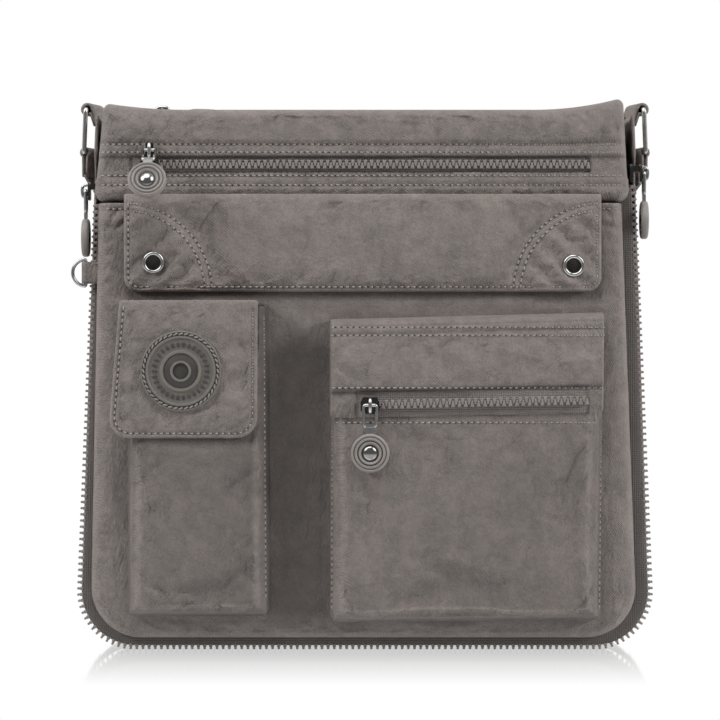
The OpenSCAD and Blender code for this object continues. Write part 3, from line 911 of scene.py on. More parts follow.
def yoke_surface(x, z, inside):
    full = rolled(inside, 0.007, 2.4)
    base = pivot.y - 0.0025 if z < pivot.z else pivot.y + ROW_GAP
    face = YOKE + 0.0004
    lively = rolled(inside, 0.02)
    folds = 0.0010 * creases(x, z * 1.3, 0.045, 51.0) * lively + 0.0004 * creases(x, z, 0.014, 57.0)
    if z > 0.254:
        folds += 0.0008 * lively
    rows = sum(channel(z - level, 0.0016) for level in YOKE_ROWS)
    dip = 0.0005 * rows + 0.0003 * math.sin(x * 700 + z * 200) * channel(z - 0.2575, 0.006)
    strip = 1.0 if 0.2384 < z < 0.2469 else 0.0
    lip = -0.0010 * channel(z - 0.2475, 0.003) if z >= 0.2469 else 0.0007 * strip
    y = base + (face - base) * full - folds * full + dip + lip
    rise = 0.0032 * unit((-x - 0.09) / 0.04) ** 2 + 0.0062 * unit((x - 0.085) / 0.045) ** 2
    rise *= unit((z - 0.245) / 0.026)
    # Painted shade along the stitch rows, a painted shadow line under the folded lip over the zip, and
    # painted shade along the lower edge.
    seams = 0.22 * sum(channel(z - level, 0.0009) for level in YOKE_ROWS)
    lip_shadow = 0.6 * channel(z - 0.2467, 0.0008)
    return y, 0.35 * channel(inside, 0.003) - seams - lip_shadow - 0.25 * channel(z - 0.2245, 0.004), rise


yoke = sheet_of("yoke_cloth", cloth, yoke_cut, yoke_surface, 150, 64, yoke_gap[:2],
                (*yoke_gap[2:], 0.2464), [yoke_gap])
yoke_rows = [level_row(-0.131, 0.1275, z) for z in YOKE_ROWS]
rumple(yoke, yoke_rows, 0.05)
belongs(thicken(yoke, 0.0013), "back_half", "nylon", "yoke_pocket")
sew("yoke_stitches", "back_half", [on_cloth(r, yoke) for r in yoke_rows])


def tape_behind(name, body, node, gap, y):
    """The two woven tapes of a closed zip, seen through its window."""
    cut = Cut(gap[:2], gap[:2], gap[2] - 0.003, gap[3] + 0.003)
    cut.low = cut.high = (gap[0] - 0.004, gap[1] + 0.004)
    middle = (gap[2] + gap[3]) / 2

    def surface(x, z, inside):
        return y + 0.0005 * channel(z - middle, 0.0006) + 0.0002 * creases(x, z, 0.015, 3.0), 0.0

    tapes = sheet_of(name, tape_material, cut, surface, 80, 14)
    return belongs(thicken(tapes, 0.0006), body, "zip_tape", node)


YOKE_ZIP = 0.2428
tape_behind("yoke_zip_tapes", "back_half", "yoke_zip_tape", yoke_gap, YOKE + 0.0016)
belongs(chain("yoke_chain", yoke_gap[0] + 0.006, yoke_gap[1] - 0.001, YOKE + 0.0002, YOKE_ZIP),
        "back_half", "zip_teeth", "yoke_zip_teeth")

# ---- Top panel and main zip ----
# The main compartment closes with a zip along the top, between the yoke and the back panel.
# Two folded strips of nylon carry it, level with the upper seams.
top_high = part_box("top_panel")[1]
main_gap = (-0.112, 0.112, -0.0118, 0.0018)
top_cut = straight_cut(-0.1318, 0.1318, pivot.y + ROW_GAP, BACK - 0.001)


def top_surface(x, y, inside):
    swell = 0.0010 * rolled(inside, 0.008) + 0.0006 * creases(x, y, 0.04, 71.0) * rolled(inside, 0.02)
    painted_shade_mix = 0.0005 * window(x, y, main_gap, 0.004)
    return -(top_high[2] - 0.0006 + swell - painted_shade_mix), 0.2 * channel(inside, 0.003)


top = sheet_of("top_panel_cloth", cloth, top_cut, top_surface, 110, 50,
               main_gap[:2], main_gap[2:], [main_gap])
lay_flat = Matrix(((1, 0, 0, 0), (0, 0, 1, 0), (0, -1, 0, 0), (0, 0, 0, 1)))
top.data.transform(lay_flat)
belongs(thicken(top, 0.0012), "back_half", "nylon", "top_panel")
main_y = (main_gap[2] + main_gap[3]) / 2
tape_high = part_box("main_zip_tape")[1]
main_tape_cut = straight_cut(-0.116, 0.116, main_gap[2] - 0.002, main_gap[3] + 0.002)


def main_tape_surface(x, y, inside):
    return -tape_high[2] + 0.0004 * channel(y - main_y, 0.0006), 0.0


main_tape = sheet_of("main_zip_tapes", tape_material, main_tape_cut, main_tape_surface, 80, 14)
main_tape.data.transform(lay_flat)
belongs(thicken(main_tape, 0.0006), "back_half", "zip_tape", "main_zip_tape")
main_chain = chain("main_chain", -0.1, 0.111, -(tape_high[2] + 0.0012), main_y)
main_chain.data.transform(lay_flat)
belongs(main_chain, "back_half", "zip_teeth", "main_zip_teeth")
main_rows = []
for y in (main_gap[2] - 0.003, main_gap[3] + 0.003):
    row = on_surface(level_row(-0.114, 0.114, y), top_surface, top_cut, 0.0001)
    main_rows.append([(x, z, -y) for x, y, z in row])
sew("top_panel_stitches", "back_half", main_rows)

# ---- Main flap ----
# A wide flap of doubled nylon covers the slip pocket, with a soft fold along its upper edge.
# Rounded patches are sewn over its lower corners, each with a nickel eyelet.
flap_low, flap_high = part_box("main_flap")
FLAP = flap_low[1]
flap_cut = straight_cut(flap_low[0], flap_high[0], flap_low[2], flap_high[2], 0.0075, 0.001)
EYELETS = [(-0.1055, 0.1935), (0.104, 0.192)]
PATCH = 0.0425


def patch_edge(x, z):
    """How far a point is inside the nearer corner patch, less than 0 outside both."""
    return max(PATCH - math.hypot(x - corner, z - flap_low[2]) for corner in (flap_low[0], flap_high[0]))


def flap_surface(x, z, inside):
    full = rolled(inside, 0.0028)
    ridge = rolled(flap_high[2] - z, 0.010, 2.0)
    lively = rolled(inside, 0.018)
    folds = 0.0009 * creases(x * 1.1, z, 0.05, 81.0) * lively + 0.0004 * creases(x, z, 0.015, 87.0)
    folds += 0.0012 * math.exp(-(((z - 0.2235) / 0.0035) ** 2))
    edge = patch_edge(x, z)
    patch = 0.0007 * unit(edge / 0.0008)
    side = -1 if x < 0 else 1
    pulled = math.sin((side * x + z) * 420 + 1.3) * 0.0007 * unit(edge / 0.006)
    folds += pulled * rolled(inside, 0.01) * rolled(max(edge, 0), 0.01)
    hem = 0.0005 * channel(inside - 0.0024, 0.0016) * (z < 0.222)
    hem += 0.0004 * (channel(edge - 0.002, 0.0014) + channel(edge + 0.0016, 0.0014)) * (edge > -0.01)
    back_y = flap_high[1] - 0.0004
    y = back_y + (FLAP - back_y) * full * (0.55 + 0.45 * ridge) - folds * full - patch + hem
    for ex, ez in EYELETS:
        y += 0.0004 * channel(math.hypot(x - ex, z - ez), 0.009)
    # Painted shade along the stitch rows of the hem and the corner patches; the whole flap is made slightly
    # paler, and its edges paler still from rubbing.
    seams = 0.25 * channel(inside - 0.0024, 0.0009) * (z < 0.222)
    if edge > -0.006:
        seams += 0.2 * (channel(edge - 0.002, 0.0009) + channel(edge + 0.0016, 0.0009))
    return y, 0.12 + 0.4 * channel(inside, 0.0014) + 0.4 * channel(edge, 0.0008) - seams


def holed(obj, spots, radius):
    """Cuts round holes through a sheet before it has its thickness."""
    shape = bmesh.new()
    shape.from_mesh(obj.data)
    for x, z in spots:
        near = [v for v in shape.verts if math.hypot(v.co.x - x, v.co.z - z) < radius]
        bmesh.ops.delete(shape, geom=near, context="VERTS")
    shape.to_mesh(obj.data)
    shape.free()


flap = sheet_of("main_flap_cloth", cloth, flap_cut, flap_surface, 190, 56)
arcs = []
for corner, side in ((flap_low[0], 1), (flap_high[0], -1)):
    for radius in (PATCH - 0.002, PATCH + 0.0016):
        turns = [math.radians(4 + 82 * k / 30) for k in range(31)]
        arcs.append(ring_of(corner, flap_low[2], radius, turns, side))
arcs.append(flap_cut.border(0.0024, 0.006))
rims = [ring_of(x, z, 0.006, np.linspace(0, 6.28, 24)) for x, z in EYELETS]
rumple(flap, arcs + rims, 0.045)
holed(flap, EYELETS, 0.0042)
belongs(thicken(flap, 0.0016), "main_flap_body", "nylon",
        "main_flap", "corner_patch_left", "corner_patch_right")
sew("main_flap_stitches", "main_flap_body", [on_cloth(a, flap) for a in arcs])

# ---- Metal fittings ----
# Sliders, pulls, rings and eyelets are zinc castings and steel wire with bright nickel plate.
# Handling leaves them finely scuffed.
metal = one_noise_material("nickel_plate", (0.003, 4, 0.7), (0.40, 0.395, 0.385), (0.58, 0.575, 0.56),
                           0.08, 0.12, (0.02, 0.0002), 1.0)
chrome = one_noise_material("bright_chrome", (0.002, 3, 0.6), (0.22, 0.218, 0.212), (0.36, 0.355, 0.345),
                            0.05, 0.08, None, 1.0)
dark_metal = one_noise_material("dark_nickel", (0.002, 4, 0.7), (0.045, 0.044, 0.042),
                                (0.12, 0.118, 0.114), 0.08, 0.2, None, 1.0)


def turned(name, profile, material, segments=48):
    """A turned piece: profile points are (radius, height), spun round its own axis, -Y."""
    verts, faces = [], []
    for k in range(segments):
        a = 2 * math.pi * k / segments
        verts += [(r * math.cos(a), -h, r * math.sin(a)) for r, h in profile]
    count = len(profile)
    for k in range(segments):
        for j in range(count - 1):
            a, b = k * count + j, (k + 1) % segments * count + j
            faces.append((a, b, b + 1, a + 1))
    obj = add_piece(name, verts, faces, material)
    mend_normals(obj)
    obj.data.set_sharp_from_angle(angle=math.radians(50))
    return obj


def mend_normals(obj):
    """Merges doubles and turns every face outwards."""
    shape = bmesh.new()
    shape.from_mesh(obj.data)
    bmesh.ops.remove_doubles(shape, verts=shape.verts, dist=1e-6)
    bmesh.ops.recalc_face_normals(shape, faces=shape.faces)
    shape.to_mesh(obj.data)
    shape.free()


def closed_profile(points):
    return points + [points[0]]


def washer(inner, outer, low, high):
    """The square profile of a flat ring."""
    return closed_profile([(inner, low), (inner, high), (outer, high), (outer, low)])


eyelet_profile = closed_profile([(0.0036, -0.0042), (0.0036, 0.0004), (0.0040, 0.0009),
                                 (0.0047, 0.0011), (0.0053, 0.0008), (0.0056, 0.0002),
                                 (0.0054, 0.0), (0.0044, 0.0), (0.0044, -0.0042)])
rims = []
for k, (x, z) in enumerate(EYELETS):
    rim = turned("eyelet_%d" % k, eyelet_profile, metal)
    rim.data.transform(Matrix.Translation((x, FLAP - 0.0009, z)))
    rims.append(rim)
belongs(joined("flap_eyelet_rims", rims), "main_flap_body", "metal", "flap_eyelets")
strip_low, strip_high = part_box("flap_seam")
strip_cut = straight_cut(strip_low[0], strip_high[0], strip_low[2], strip_high[2])


def strip_surface(x, z, inside):
    return strip_low[1] + 0.0001, 0.0


strip = sheet_of("flap_seam_cloth", cloth, strip_cut, strip_surface, 60, 6)
belongs(thicken(strip, 0.0007), "back_half", "nylon", "flap_seam")

# ---- Phone pocket ----
# A tall patch pocket with boxed sides, open at its top under its own flap.
# Its edges are softly rolled, and one row of stitches runs down its right seam.
phone_low, phone_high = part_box("phone_pocket")
FACE = phone_low[1]
phone_cut = Cut((-0.1190, -0.0465), (-0.1190, -0.0475), phone_low[2] - 0.0003, phone_high[2], 0.008)
MOUTH = 0.150


def boxed(x, z, inside, cut, wide_left, wide_right):
    """The profile of a boxed pocket, whose sides slope in by different amounts."""
    left, right = cut.sides(z)
    t = min((x - left) / wide_left, (right - x) / wide_right, (z - cut.z0) / wide_left)
    if inside <= 0:
        t = 0.0
    return t


def phone_surface(x, z, inside):
    t = boxed(x, z, inside, phone_cut, 0.0062, 0.0070)
    side = unit(t)
    full = math.sin(math.pi / 2 * side) ** 0.8
    over = (t - 1) * 0.0062
    ridge = 0.0004 * channel(over, 0.0014)
    lively = rolled(over, 0.02) if over > 0 else 0.0
    folds = 0.0014 * creases(x, z * 0.8, 0.04, 91.0) * lively + 0.0005 * creases(x, z, 0.013, 95.0)
    folds = folds * (0.2 if z > 0.104 else 1.0)
    folds += 0.0022 * lively * math.sin(math.pi * unit((z - 0.016) / 0.088)) ** 0.7
    base = PANEL + 0.0014
    y = base + (FACE + 0.0006 - base) * full - folds * side - ridge
    # Painted shade: the whole pocket darker, more so under its flap and towards its right, and darker again
    # on its sloping sides.
    under = 0.30 * near_box(x, z, -0.127, -0.053, 0.107, 0.17, 0.006) + 0.16
    under += 0.14 * unit((x + 0.115) / 0.05)
    return y, 0.3 * channel(over, 0.0025) - under - 0.2 * (t < 0.35)


mouth_gap = (phone_cut.low[0] + 0.003, phone_cut.low[1] - 0.0062, MOUTH, 0.2)
phone = sheet_of("phone_pocket_cloth", cloth, phone_cut, phone_surface, 64, 104, mouth_gap[:2],
                 (MOUTH,), [mouth_gap])
side_seam = [(phone_cut.sides(z)[1] - 0.0028, z) for z in np.arange(0.028, 0.168, 0.003)]
rumple(phone, [side_seam], 0.045, limit=lambda x, z: FACE - 0.0004 - 0.0021 * (z < 0.103))
belongs(thicken(phone, 0.0012), "front_half", "nylon", "phone_pocket")
sew("phone_pocket_stitches", "front_half",
    [on_cloth(side_seam, phone)])
root_low, root_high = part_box("phone_flap_root")
root_cut = straight_cut(root_low[0], root_high[0], root_low[1] + 0.0002, PANEL + 0.001)


def root_surface(x, y, inside):
    return -(root_high[2] - 0.0008 + 0.0005 * creases(x, y, 0.02, 4.0)), 0.0


root = sheet_of("phone_flap_root_cloth", cloth, root_cut, root_surface, 40, 12)
root.data.transform(lay_flat)
belongs(thicken(root, 0.0014), "front_half", "nylon", "phone_flap_root")

# ---- Phone pocket flap ----
# A small doubled flap with rounded corners, topstitched close to its edge.
# A round moulded rubber badge is sewn on its middle, and a hook-and-loop pad holds it down.
lid_low, lid_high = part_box("phone_flap")
LID = lid_low[1]
lid_cut = Cut((-0.1272, -0.0533), (-0.1215, -0.0530), lid_low[2], lid_high[2], 0.0105, 0.0015)
BADGE = Vector((-0.091, 0, 0.1395))


def lid_surface(x, z, inside):
    full = rolled(inside, 0.0026)
    lively = rolled(inside, 0.016)
    folds = 0.0009 * creases(x, z, 0.035, 101.0) * lively + 0.0003 * creases(x, z, 0.012, 107.0)
    bend = 0.0010 * rolled(lid_cut.z1 - z, 0.008, 2.0) - 0.0010
    hem = 0.0005 * channel(inside - 0.0024, 0.0015) * (z < lid_cut.z1 - 0.004)
    press = 0.0008 * channel(math.hypot(x - BADGE.x, z - BADGE.z), 0.024)
    back_y = lid_high[1] - 0.0004
    # Painted shade along the stitch row inside the edge; the edge itself is paler from rubbing.
    return back_y + (LID + 0.0006 - back_y) * full - (folds + bend) * full + hem + press * 0.6, \
        0.45 * channel(inside, 0.0014) - 0.25 * channel(inside - 0.0024, 0.0009) * (z < lid_cut.z1 - 0.004)


lid = sheet_of("phone_flap_cloth", cloth, lid_cut, lid_surface, 70, 66)
lid_row = lid_cut.border(0.0024, 0.004)
round_badge = []
for r in np.arange(0.002, 0.021, 0.003):
    round_badge += ring_of(BADGE.x, BADGE.z, r, np.linspace(0, 6.28, 40))
rumple(lid, [lid_row, round_badge], 0.05)
belongs(thicken(lid, 0.0013), "phone_flap_body", "nylon", "phone_flap")
sew("phone_flap_stitches", "phone_flap_body", [on_cloth(lid_row, lid)])

rubber, start = new_material("moulded_rubber")
place = start.node("ShaderNodeTexCoord", out=3)
bloom = noise_at(place, 0.006, 4, 0.6)
speck = noise_at(place, 0.0007, 2)
tone = mix_colours(bloom, (0.185, 0.170, 0.158), (0.285, 0.262, 0.245))
height = bloom * 0.5 + speck * 0.35
bump = height.node("ShaderNodeBump", {}, {"Height": height, "Strength": 0.22, "Distance": 0.0003})
skin = start.node("ShaderNodeBsdfPrincipled", {},
                  {"Base Color": tone, "Roughness": bloom * 0.2 + 0.42, "Normal": bump})
start.node("ShaderNodeOutputMaterial", {}, {0: skin})

badge_profile = [(0.0, 0.0016), (0.0072, 0.0016), (0.0080, 0.0013), (0.0086, 0.0013), (0.0090, 0.0021),
                 (0.0100, 0.0021), (0.0104, 0.0012), (0.0160, 0.0012), (0.0164, 0.0020), (0.0172, 0.0020),
                 (0.0175, 0.0011), (0.0190, 0.0011), (0.0193, 0.0018), (0.0198, 0.0016), (0.0200, 0.0002),
                 (0.0, 0.0)]
dark_rubber = one_noise_material("dark_rubber", (0.005, 4, 0.6), (0.030, 0.027, 0.025),
                                 (0.060, 0.054, 0.050), 0.38, 0.2, (0.25, 0.0003))
field = one_noise_material("badge_rubber", (0.005, 4, 0.6), (0.125, 0.116, 0.103),
                           (0.180, 0.167, 0.150), 0.4, 0.2, (0.25, 0.0003))
badge = turned("badge_base", badge_profile, field, 96)
middle_profile = [(0.0, 0.0017), (0.0080, 0.0017), (0.0084, 0.0014), (0.0084, 0.0010), (0.0, 0.0010)]
middle = turned("badge_middle", middle_profile, dark_rubber, 64)
bar_mesh = bmesh.new()
bmesh.ops.create_cube(bar_mesh, size=1)
bmesh.ops.bevel(bar_mesh, geom=bar_mesh.edges, offset=0.18, segments=1, affect="EDGES")
bar_data = bpy.data.meshes.new("bar")
bar_mesh.to_mesh(bar_data)
bar_mesh.free()
bar = bpy.data.objects.new("bar", bar_data)
ring_tree, given = tree_with("ring_of_bars", ("Count", "Int"), ("Radius", "Float"), ("Bar", "Object"),
                             ("Size", "Vector"), ("Slant", "Vector"), ("Material", "Material"))
start = Value(ring_tree)
count, radius = [from_input(ring_tree, given, label) for label in ("Count", "Radius")]
circle = start.node("GeometryNodeCurvePrimitiveCircle", {"mode": "RADIUS"},
                    {"Resolution": count, "Radius": radius})
held = start.node("GeometryNodeObjectInfo", {}, {0: from_input(ring_tree, given, "Bar")}, out=4)
tangent = start.node("GeometryNodeInputTangent")
turn = start.node("FunctionNodeAlignRotationToVector", {"axis": "X", "pivot_axis": "Z"}, {"Vector": tangent})
slant = start.node("FunctionNodeEulerToRotation", {}, {0: from_input(ring_tree, given, "Slant")})
turn = start.node("FunctionNodeRotateRotation", {"rotation_space": "LOCAL"}, {0: turn, 1: slant})
placed(ring_tree, given, circle, held, turn, "Size")


def bar_ring(name, count, radius, size, slant, height, material):
    ring = along_paths(name, ring_tree, [[(0, 0, 0), (0, 0, 0.001)]], material, Count=count, Radius=radius,
                       Bar=bar, Size=size, Slant=(0.0, 0.0, slant))
    stand = Matrix(((1, 0, 0, 0), (0, 0, -1, -height), (0, 1, 0, 0), (0, 0, 0, 1)))
    ring.data.transform(stand)
    return ring


rope = bar_ring("badge_rope", 44, 0.0184, (0.0023, 0.0009, 0.0008), 0.4, 0.0014, rubber)
marks = bar_ring("badge_marks", 30, 0.0131, (0.0014, 0.0024, 0.0010), 0.0, 0.0014, dark_rubber)
boss = turned("badge_boss", washer(0.0040, 0.0052, 0.0014, 0.0026), field)
# The dark ring in the badge's outer groove is painted shade.
groove = turned("badge_groove", washer(0.0175, 0.0191, 0.0009, 0.0012), dark_rubber, 96)
whole_badge = joined("rubber_badge_disc", [badge, middle, rope, marks, boss, groove])
whole_badge.data.transform(Matrix.Translation((BADGE.x, LID + 0.0004, BADGE.z)))
belongs(whole_badge, "phone_flap_body", "rubber", "rubber_badge")

hooks = one_noise_material("hook_and_loop", (0.0009, 3, 0.8), (0.03, 0.027, 0.025), (0.12, 0.108, 0.1),
                           0.9, bump=(1.0, 0.0006))
for node, body in (("pocket_hook_patch", "front_half"), ("flap_loop_patch", "phone_flap_body")):
    low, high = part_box(node)
    pad_cut = straight_cut(low[0], high[0], low[2], high[2], 0.002, 0.002)
    outward = body == "front_half"
    pad_y = FACE + 0.0001 if outward else high[1] - 0.0002

    def pad_surface(x, z, inside):
        return pad_y + 0.0001 * creases(x, z, 0.002, 1.0), 0.0

    pad = sheet_of(node + "_pad", hooks, pad_cut, pad_surface, 34, 18, back=not outward)
    belongs(thicken(pad, 0.0004), body, "hook_and_loop", node)

# ---- Zip pocket ----
# A wide boxed pocket with a header, whose zip is set in a window across its face.
# The header and the window's folded edges are topstitched.
pouch_low, pouch_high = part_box("zip_pocket")
pouch_cut = Cut((-0.0180, 0.1182), (-0.0178, 0.1196), pouch_low[2] - 0.0005, pouch_high[2] + 0.0005,
                0.0065, 0.002)
pouch_gap = (-0.0046, 0.1108, 0.1155, 0.1290)
POUCH_ZIP = 0.1224
POUCH_ROWS = (0.1612, 0.1572, 0.1312, 0.1140)


def pouch_surface(x, z, inside):
    slope = 0.0035 * (x - pouch_cut.low[0]) / 0.137
    plain = unit((z - 0.1157) / 0.002)
    t = boxed(x, z, inside, pouch_cut, 0.0066 - 0.0050 * plain, 0.0080 - 0.0062 * plain)
    side = unit(t)
    over = (t - 1) * 0.0066
    top_in = pouch_cut.z1 - z
    full = math.sin(math.pi / 2 * side) ** 0.85 * (0.25 + 0.75 * rolled(top_in, 0.006, 2.0))
    flat_top = 0.0045 * unit((z - 0.131) / 0.034)
    ridge = 0.0004 * channel(over, 0.0014)
    lively = rolled(over, 0.02) if over > 0 else 0.0
    folds = 0.0010 * creases(x, z, 0.05, 111.0) * lively + 0.0004 * creases(x, z, 0.014, 117.0)
    if z < 0.112:
        folds += 0.0015 * lively * math.sin(math.pi * unit((z - 0.014) / 0.1))
    rows = sum(channel(z - level, 0.0015) for level in POUCH_ROWS)
    header = -0.0008 if z > 0.1288 else 0.0
    if 0.1157 < z < 0.1288:
        header = 0.0011
    base = PANEL + 0.0014
    y = base + (FACE + 0.0010 - base) * full - folds * side + flat_top * side - ridge
    y += 0.0005 * rows * side + header * side
    rise = slope * (0.4 + 0.6 * unit((z - 0.02) / 0.14))
    # Painted shade along the stitch rows, painted shadow lines at the window's folded edges, and painted
    # shade on the sloping sides and over the body below the zip, more towards the right.
    seams = 0.22 * sum(channel(z - level, 0.0009) for level in POUCH_ROWS)
    folded = 0.6 * max(channel(z - 0.1287, 0.0008), channel(z - 0.1159, 0.0006))
    shaded = 0.10 + 0.12 * unit((x + 0.01) / 0.11) if z < 0.1157 else 0.0
    edge = 0.3 * channel(over, 0.0025) - 0.2 * (t < 0.35)
    return y, edge - seams - folded * (t > 0.4) - shaded, rise


pouch = sheet_of("zip_pocket_cloth", cloth, pouch_cut, pouch_surface, 110, 130, pouch_gap[:2],
                 (*pouch_gap[2:], 0.1159, 0.1286), [pouch_gap])
pouch_rows = [level_row(-0.0162, 0.1178, z) for z in (0.1612, 0.1572)]
pouch_rows += [level_row(-0.0155, 0.1170, 0.1312), level_row(-0.0135, 0.1135, 0.1140)]
for k, side in ((0, 1), (1, -1)):
    pouch_rows.append([(pouch_cut.sides(z)[k] + side * 0.0016, z) for z in np.arange(0.022, 0.112, 0.003)])
rumple(pouch, pouch_rows, 0.045, limit=lambda x, z: FACE - 0.0024)
belongs(thicken(pouch, 0.0012), "front_half", "nylon", "zip_pocket", "zip_pocket_header")
sew("zip_pocket_stitches", "front_half", [on_cloth(r, pouch) for r in pouch_rows])


def follow_slope(obj):
    """Lifts a piece on the zip pocket to follow the pocket's slight slope."""
    for v in obj.data.vertices:
        x, z = v.co.x, v.co.z
        v.co.z += 0.0035 * (x - pouch_cut.low[0]) / 0.137 * (0.4 + 0.6 * unit((z - 0.02) / 0.14))


follow_slope(tape_behind("pocket_zip_tapes", "front_half", "pocket_zip_tape", pouch_gap, FACE + 0.0026))
pouch_chain = chain("pocket_chain", pouch_gap[0] + 0.004, pouch_gap[1] - 0.001, FACE + 0.0008, POUCH_ZIP)
follow_slope(pouch_chain)
belongs(pouch_chain, "front_half", "zip_teeth", "pocket_zip_teeth")

# ---- Sliders and pulls ----
# Each slider is a plated casting with a bridge, and carries a wire loop on a flat neck.
# The neck is moulded into a grooved rubber disc with a bright dome in its middle.


def wire(name, points, radius, closed=False, material=None):
    """Round wire through the points, as a mesh."""
    curve = bpy.data.curves.new(name, "CURVE")
    curve.dimensions = "3D"
    curve.bevel_depth, curve.bevel_resolution, curve.use_fill_caps = radius, 4, True
    spline = curve.splines.new("NURBS")
    spline.points.add(len(points) - 1)
    for spot, p in zip(spline.points, points):
        spot.co = (*p, 1)
    spline.use_cyclic_u = closed
    spline.use_endpoint_u = not closed
    spline.order_u, spline.resolution_u = 3, 6
    source = bpy.data.objects.new(name + "_curve", curve)
    scene.collection.objects.link(source)
    graph = bpy.context.evaluated_depsgraph_get()
    mesh = bpy.data.meshes.new_from_object(source.evaluated_get(graph))
    bpy.data.objects.remove(source)
    mesh.materials.clear()
    mesh.materials.append(material or metal)
    mesh.shade_smooth()
    obj = bpy.data.objects.new(name, mesh)
    scene.collection.objects.link(obj)
    return obj


def block(name, outline, y0, y1, bevel, material):
    """A plate with an outline in X and Z, from y0 to y1, with eased edges."""
    shape = bmesh.new()
    face = shape.faces.new([shape.verts.new((x, y0, z)) for x, z in outline])
    sweep = bmesh.ops.extrude_face_region(shape, geom=[face])
    moved = [v for v in sweep["geom"] if isinstance(v, bmesh.types.BMVert)]
    bmesh.ops.translate(shape, verts=moved, vec=(0, y1 - y0, 0))
    bmesh.ops.bevel(shape, geom=shape.edges, offset=bevel, segments=2, affect="EDGES")
    bmesh.ops.recalc_face_normals(shape, faces=shape.faces)
    mesh = bpy.data.meshes.new(name)
    shape.to_mesh(mesh)
    shape.free()
    mesh.materials.append(material)
    mesh.shade_smooth()
    mesh.set_sharp_from_angle(angle=math.radians(40))
    obj = bpy.data.objects.new(name, mesh)
    scene.collection.objects.link(obj)
    return obj


def slider(name, node, body, rise, turn, put):
    """Slider over teeth along X, its crown towards -Y; put moves it to its place."""
    outline = [(-0.0046, -0.0030), (-0.0026, -0.0041), (0.0030, -0.0041), (0.0046, -0.0026),
               (0.0046, 0.0026), (0.0030, 0.0041), (-0.0026, 0.0041), (-0.0046, 0.0030)]
    plates = [block(name + "_plate", outline, -0.0032, -0.0015, 0.0005, dark_metal)]
    if rise:
        stem = [(-0.0024, 0.0030), (0.0024, 0.0030), (0.0018, 0.0040 + rise), (-0.0018, 0.0040 + rise)]
        plates.append(block(name + "_stem", stem, -0.0031, -0.0016, 0.0004, dark_metal))
    lips = []
    for s in (-1, 1):
        lip = [(-0.0040, s * 0.0032), (0.0040, s * 0.0032), (0.0036, s * 0.0041), (-0.0036, s * 0.0041)]
        lips.append(block(name + "_lip", lip[::s], -0.0020, -0.0002, 0.0002, dark_metal))
    arch = [(0, -0.0028, -0.0034), (0, -0.0052, -0.0034), (0, -0.0062, -0.0020), (0, -0.0064, 0.0),
            (0, -0.0062, 0.0020), (0, -0.0052, 0.0034), (0, -0.0028, 0.0034)]
    spin = Matrix.Rotation(turn, 4, "Y")
    lifted = Matrix.Translation((0, 0, rise)) @ spin
    bridge = wire(name + "_bridge", [tuple(lifted @ Vector(p)) for p in arch], 0.00095)
    whole = joined(name, [*plates, *lips, bridge])
    whole.data.transform(put)
    return belongs(whole, body, "metal", node)


DISC = 0.0096


def pull(name, link_node, disc_node, body, link_tilt, disc_tilt, put):
    """Wire loop, neck, rubber disc and dome hanging from a bar at the origin."""
    half = 0.0031
    right = [(half * 0.5, 0, 0.0003), (half, 0, 0.0002), (half * 1.04, 0, -0.0016), (half, 0, -0.005),
             (half * 0.94, 0, -0.0092), (half * 0.8, 0, -0.0105)]
    left = [(-x, y, z) for x, y, z in right]
    loop = [left[0]] + right + left[:0:-1]
    ring = wire(name + "_loop", loop, 0.00085, True)
    outline = [(-0.0021, -0.0155), (0.0021, -0.0155), (0.0026, -0.0122), (0.0024, -0.0090),
               (-0.0024, -0.0090), (-0.0026, -0.0122)]
    neck = block(name + "_neck", outline, -0.0008, 0.0008, 0.0003, metal)
    link = joined(name + "_link", [ring, neck])
    link.data.transform(put @ Matrix.Rotation(-link_tilt, 4, "X"))
    belongs(link, body, "metal", link_node)
    face = [(0.0, 0.0006), (0.0034, 0.0006), (0.0042, 0.0008), (0.0047, 0.0017), (0.0054, 0.0019),
            (0.0058, 0.0013), (0.0063, 0.0013), (0.0067, 0.0019), (0.0074, 0.0019), (0.0078, 0.0013),
            (0.0082, 0.0014), (0.0086, 0.0018), (0.0092, 0.0016), (DISC, 0.0008)]
    profile = face + [(r, -h) for r, h in reversed(face)]
    disc = turned(name + "_rubber", profile, rubber, 64)
    hang = Matrix.Rotation(-link_tilt, 4, "X") @ Matrix.Translation((0, 0, -0.0138))
    hang = hang @ Matrix.Rotation(link_tilt - disc_tilt, 4, "X") @ Matrix.Translation((0, 0, -DISC))
    # Dark rubber rings in the disc's two grooves and round the dome's hole are painted shade.
    lines = []
    for side in (1, -1):
        for r, w, h in ((0.0058, 0.0005, 0.00138), (0.00785, 0.0003, 0.00138), (0.0030, 0.0013, 0.0008)):
            line = [(r, side * 0.0010), (r + w, side * 0.0010), (r + w, side * h), (r, side * h)]
            lines.append(turned(name + "_line", closed_profile(line[::side]), dark_rubber, 64))
    disc = joined(name + "_rubber", [disc, *lines])
    disc.data.transform(put @ hang)
    belongs(disc, body, "rubber", disc_node)
    caps = []
    for side in (1, -1):
        turns = [math.pi / 2 * k / 8 for k in range(9)]
        arcs = [(0.0038 * math.sin(a), side * (0.0008 + 0.0017 * math.cos(a))) for a in turns]
        caps.append(turned(name + "_dome", arcs + [(0.0, side * 0.0008)], chrome, 32))
    dome = joined(name + "_domes", caps)
    dome.data.transform(put @ hang)
    belongs(dome, body, "metal")


def joint_at(name):
    """Where a joint's axis is, as a matrix."""
    return Matrix.Translation(Vector(next(j for j in frame["joints"] if j["name"] == name)["pos_m"]))


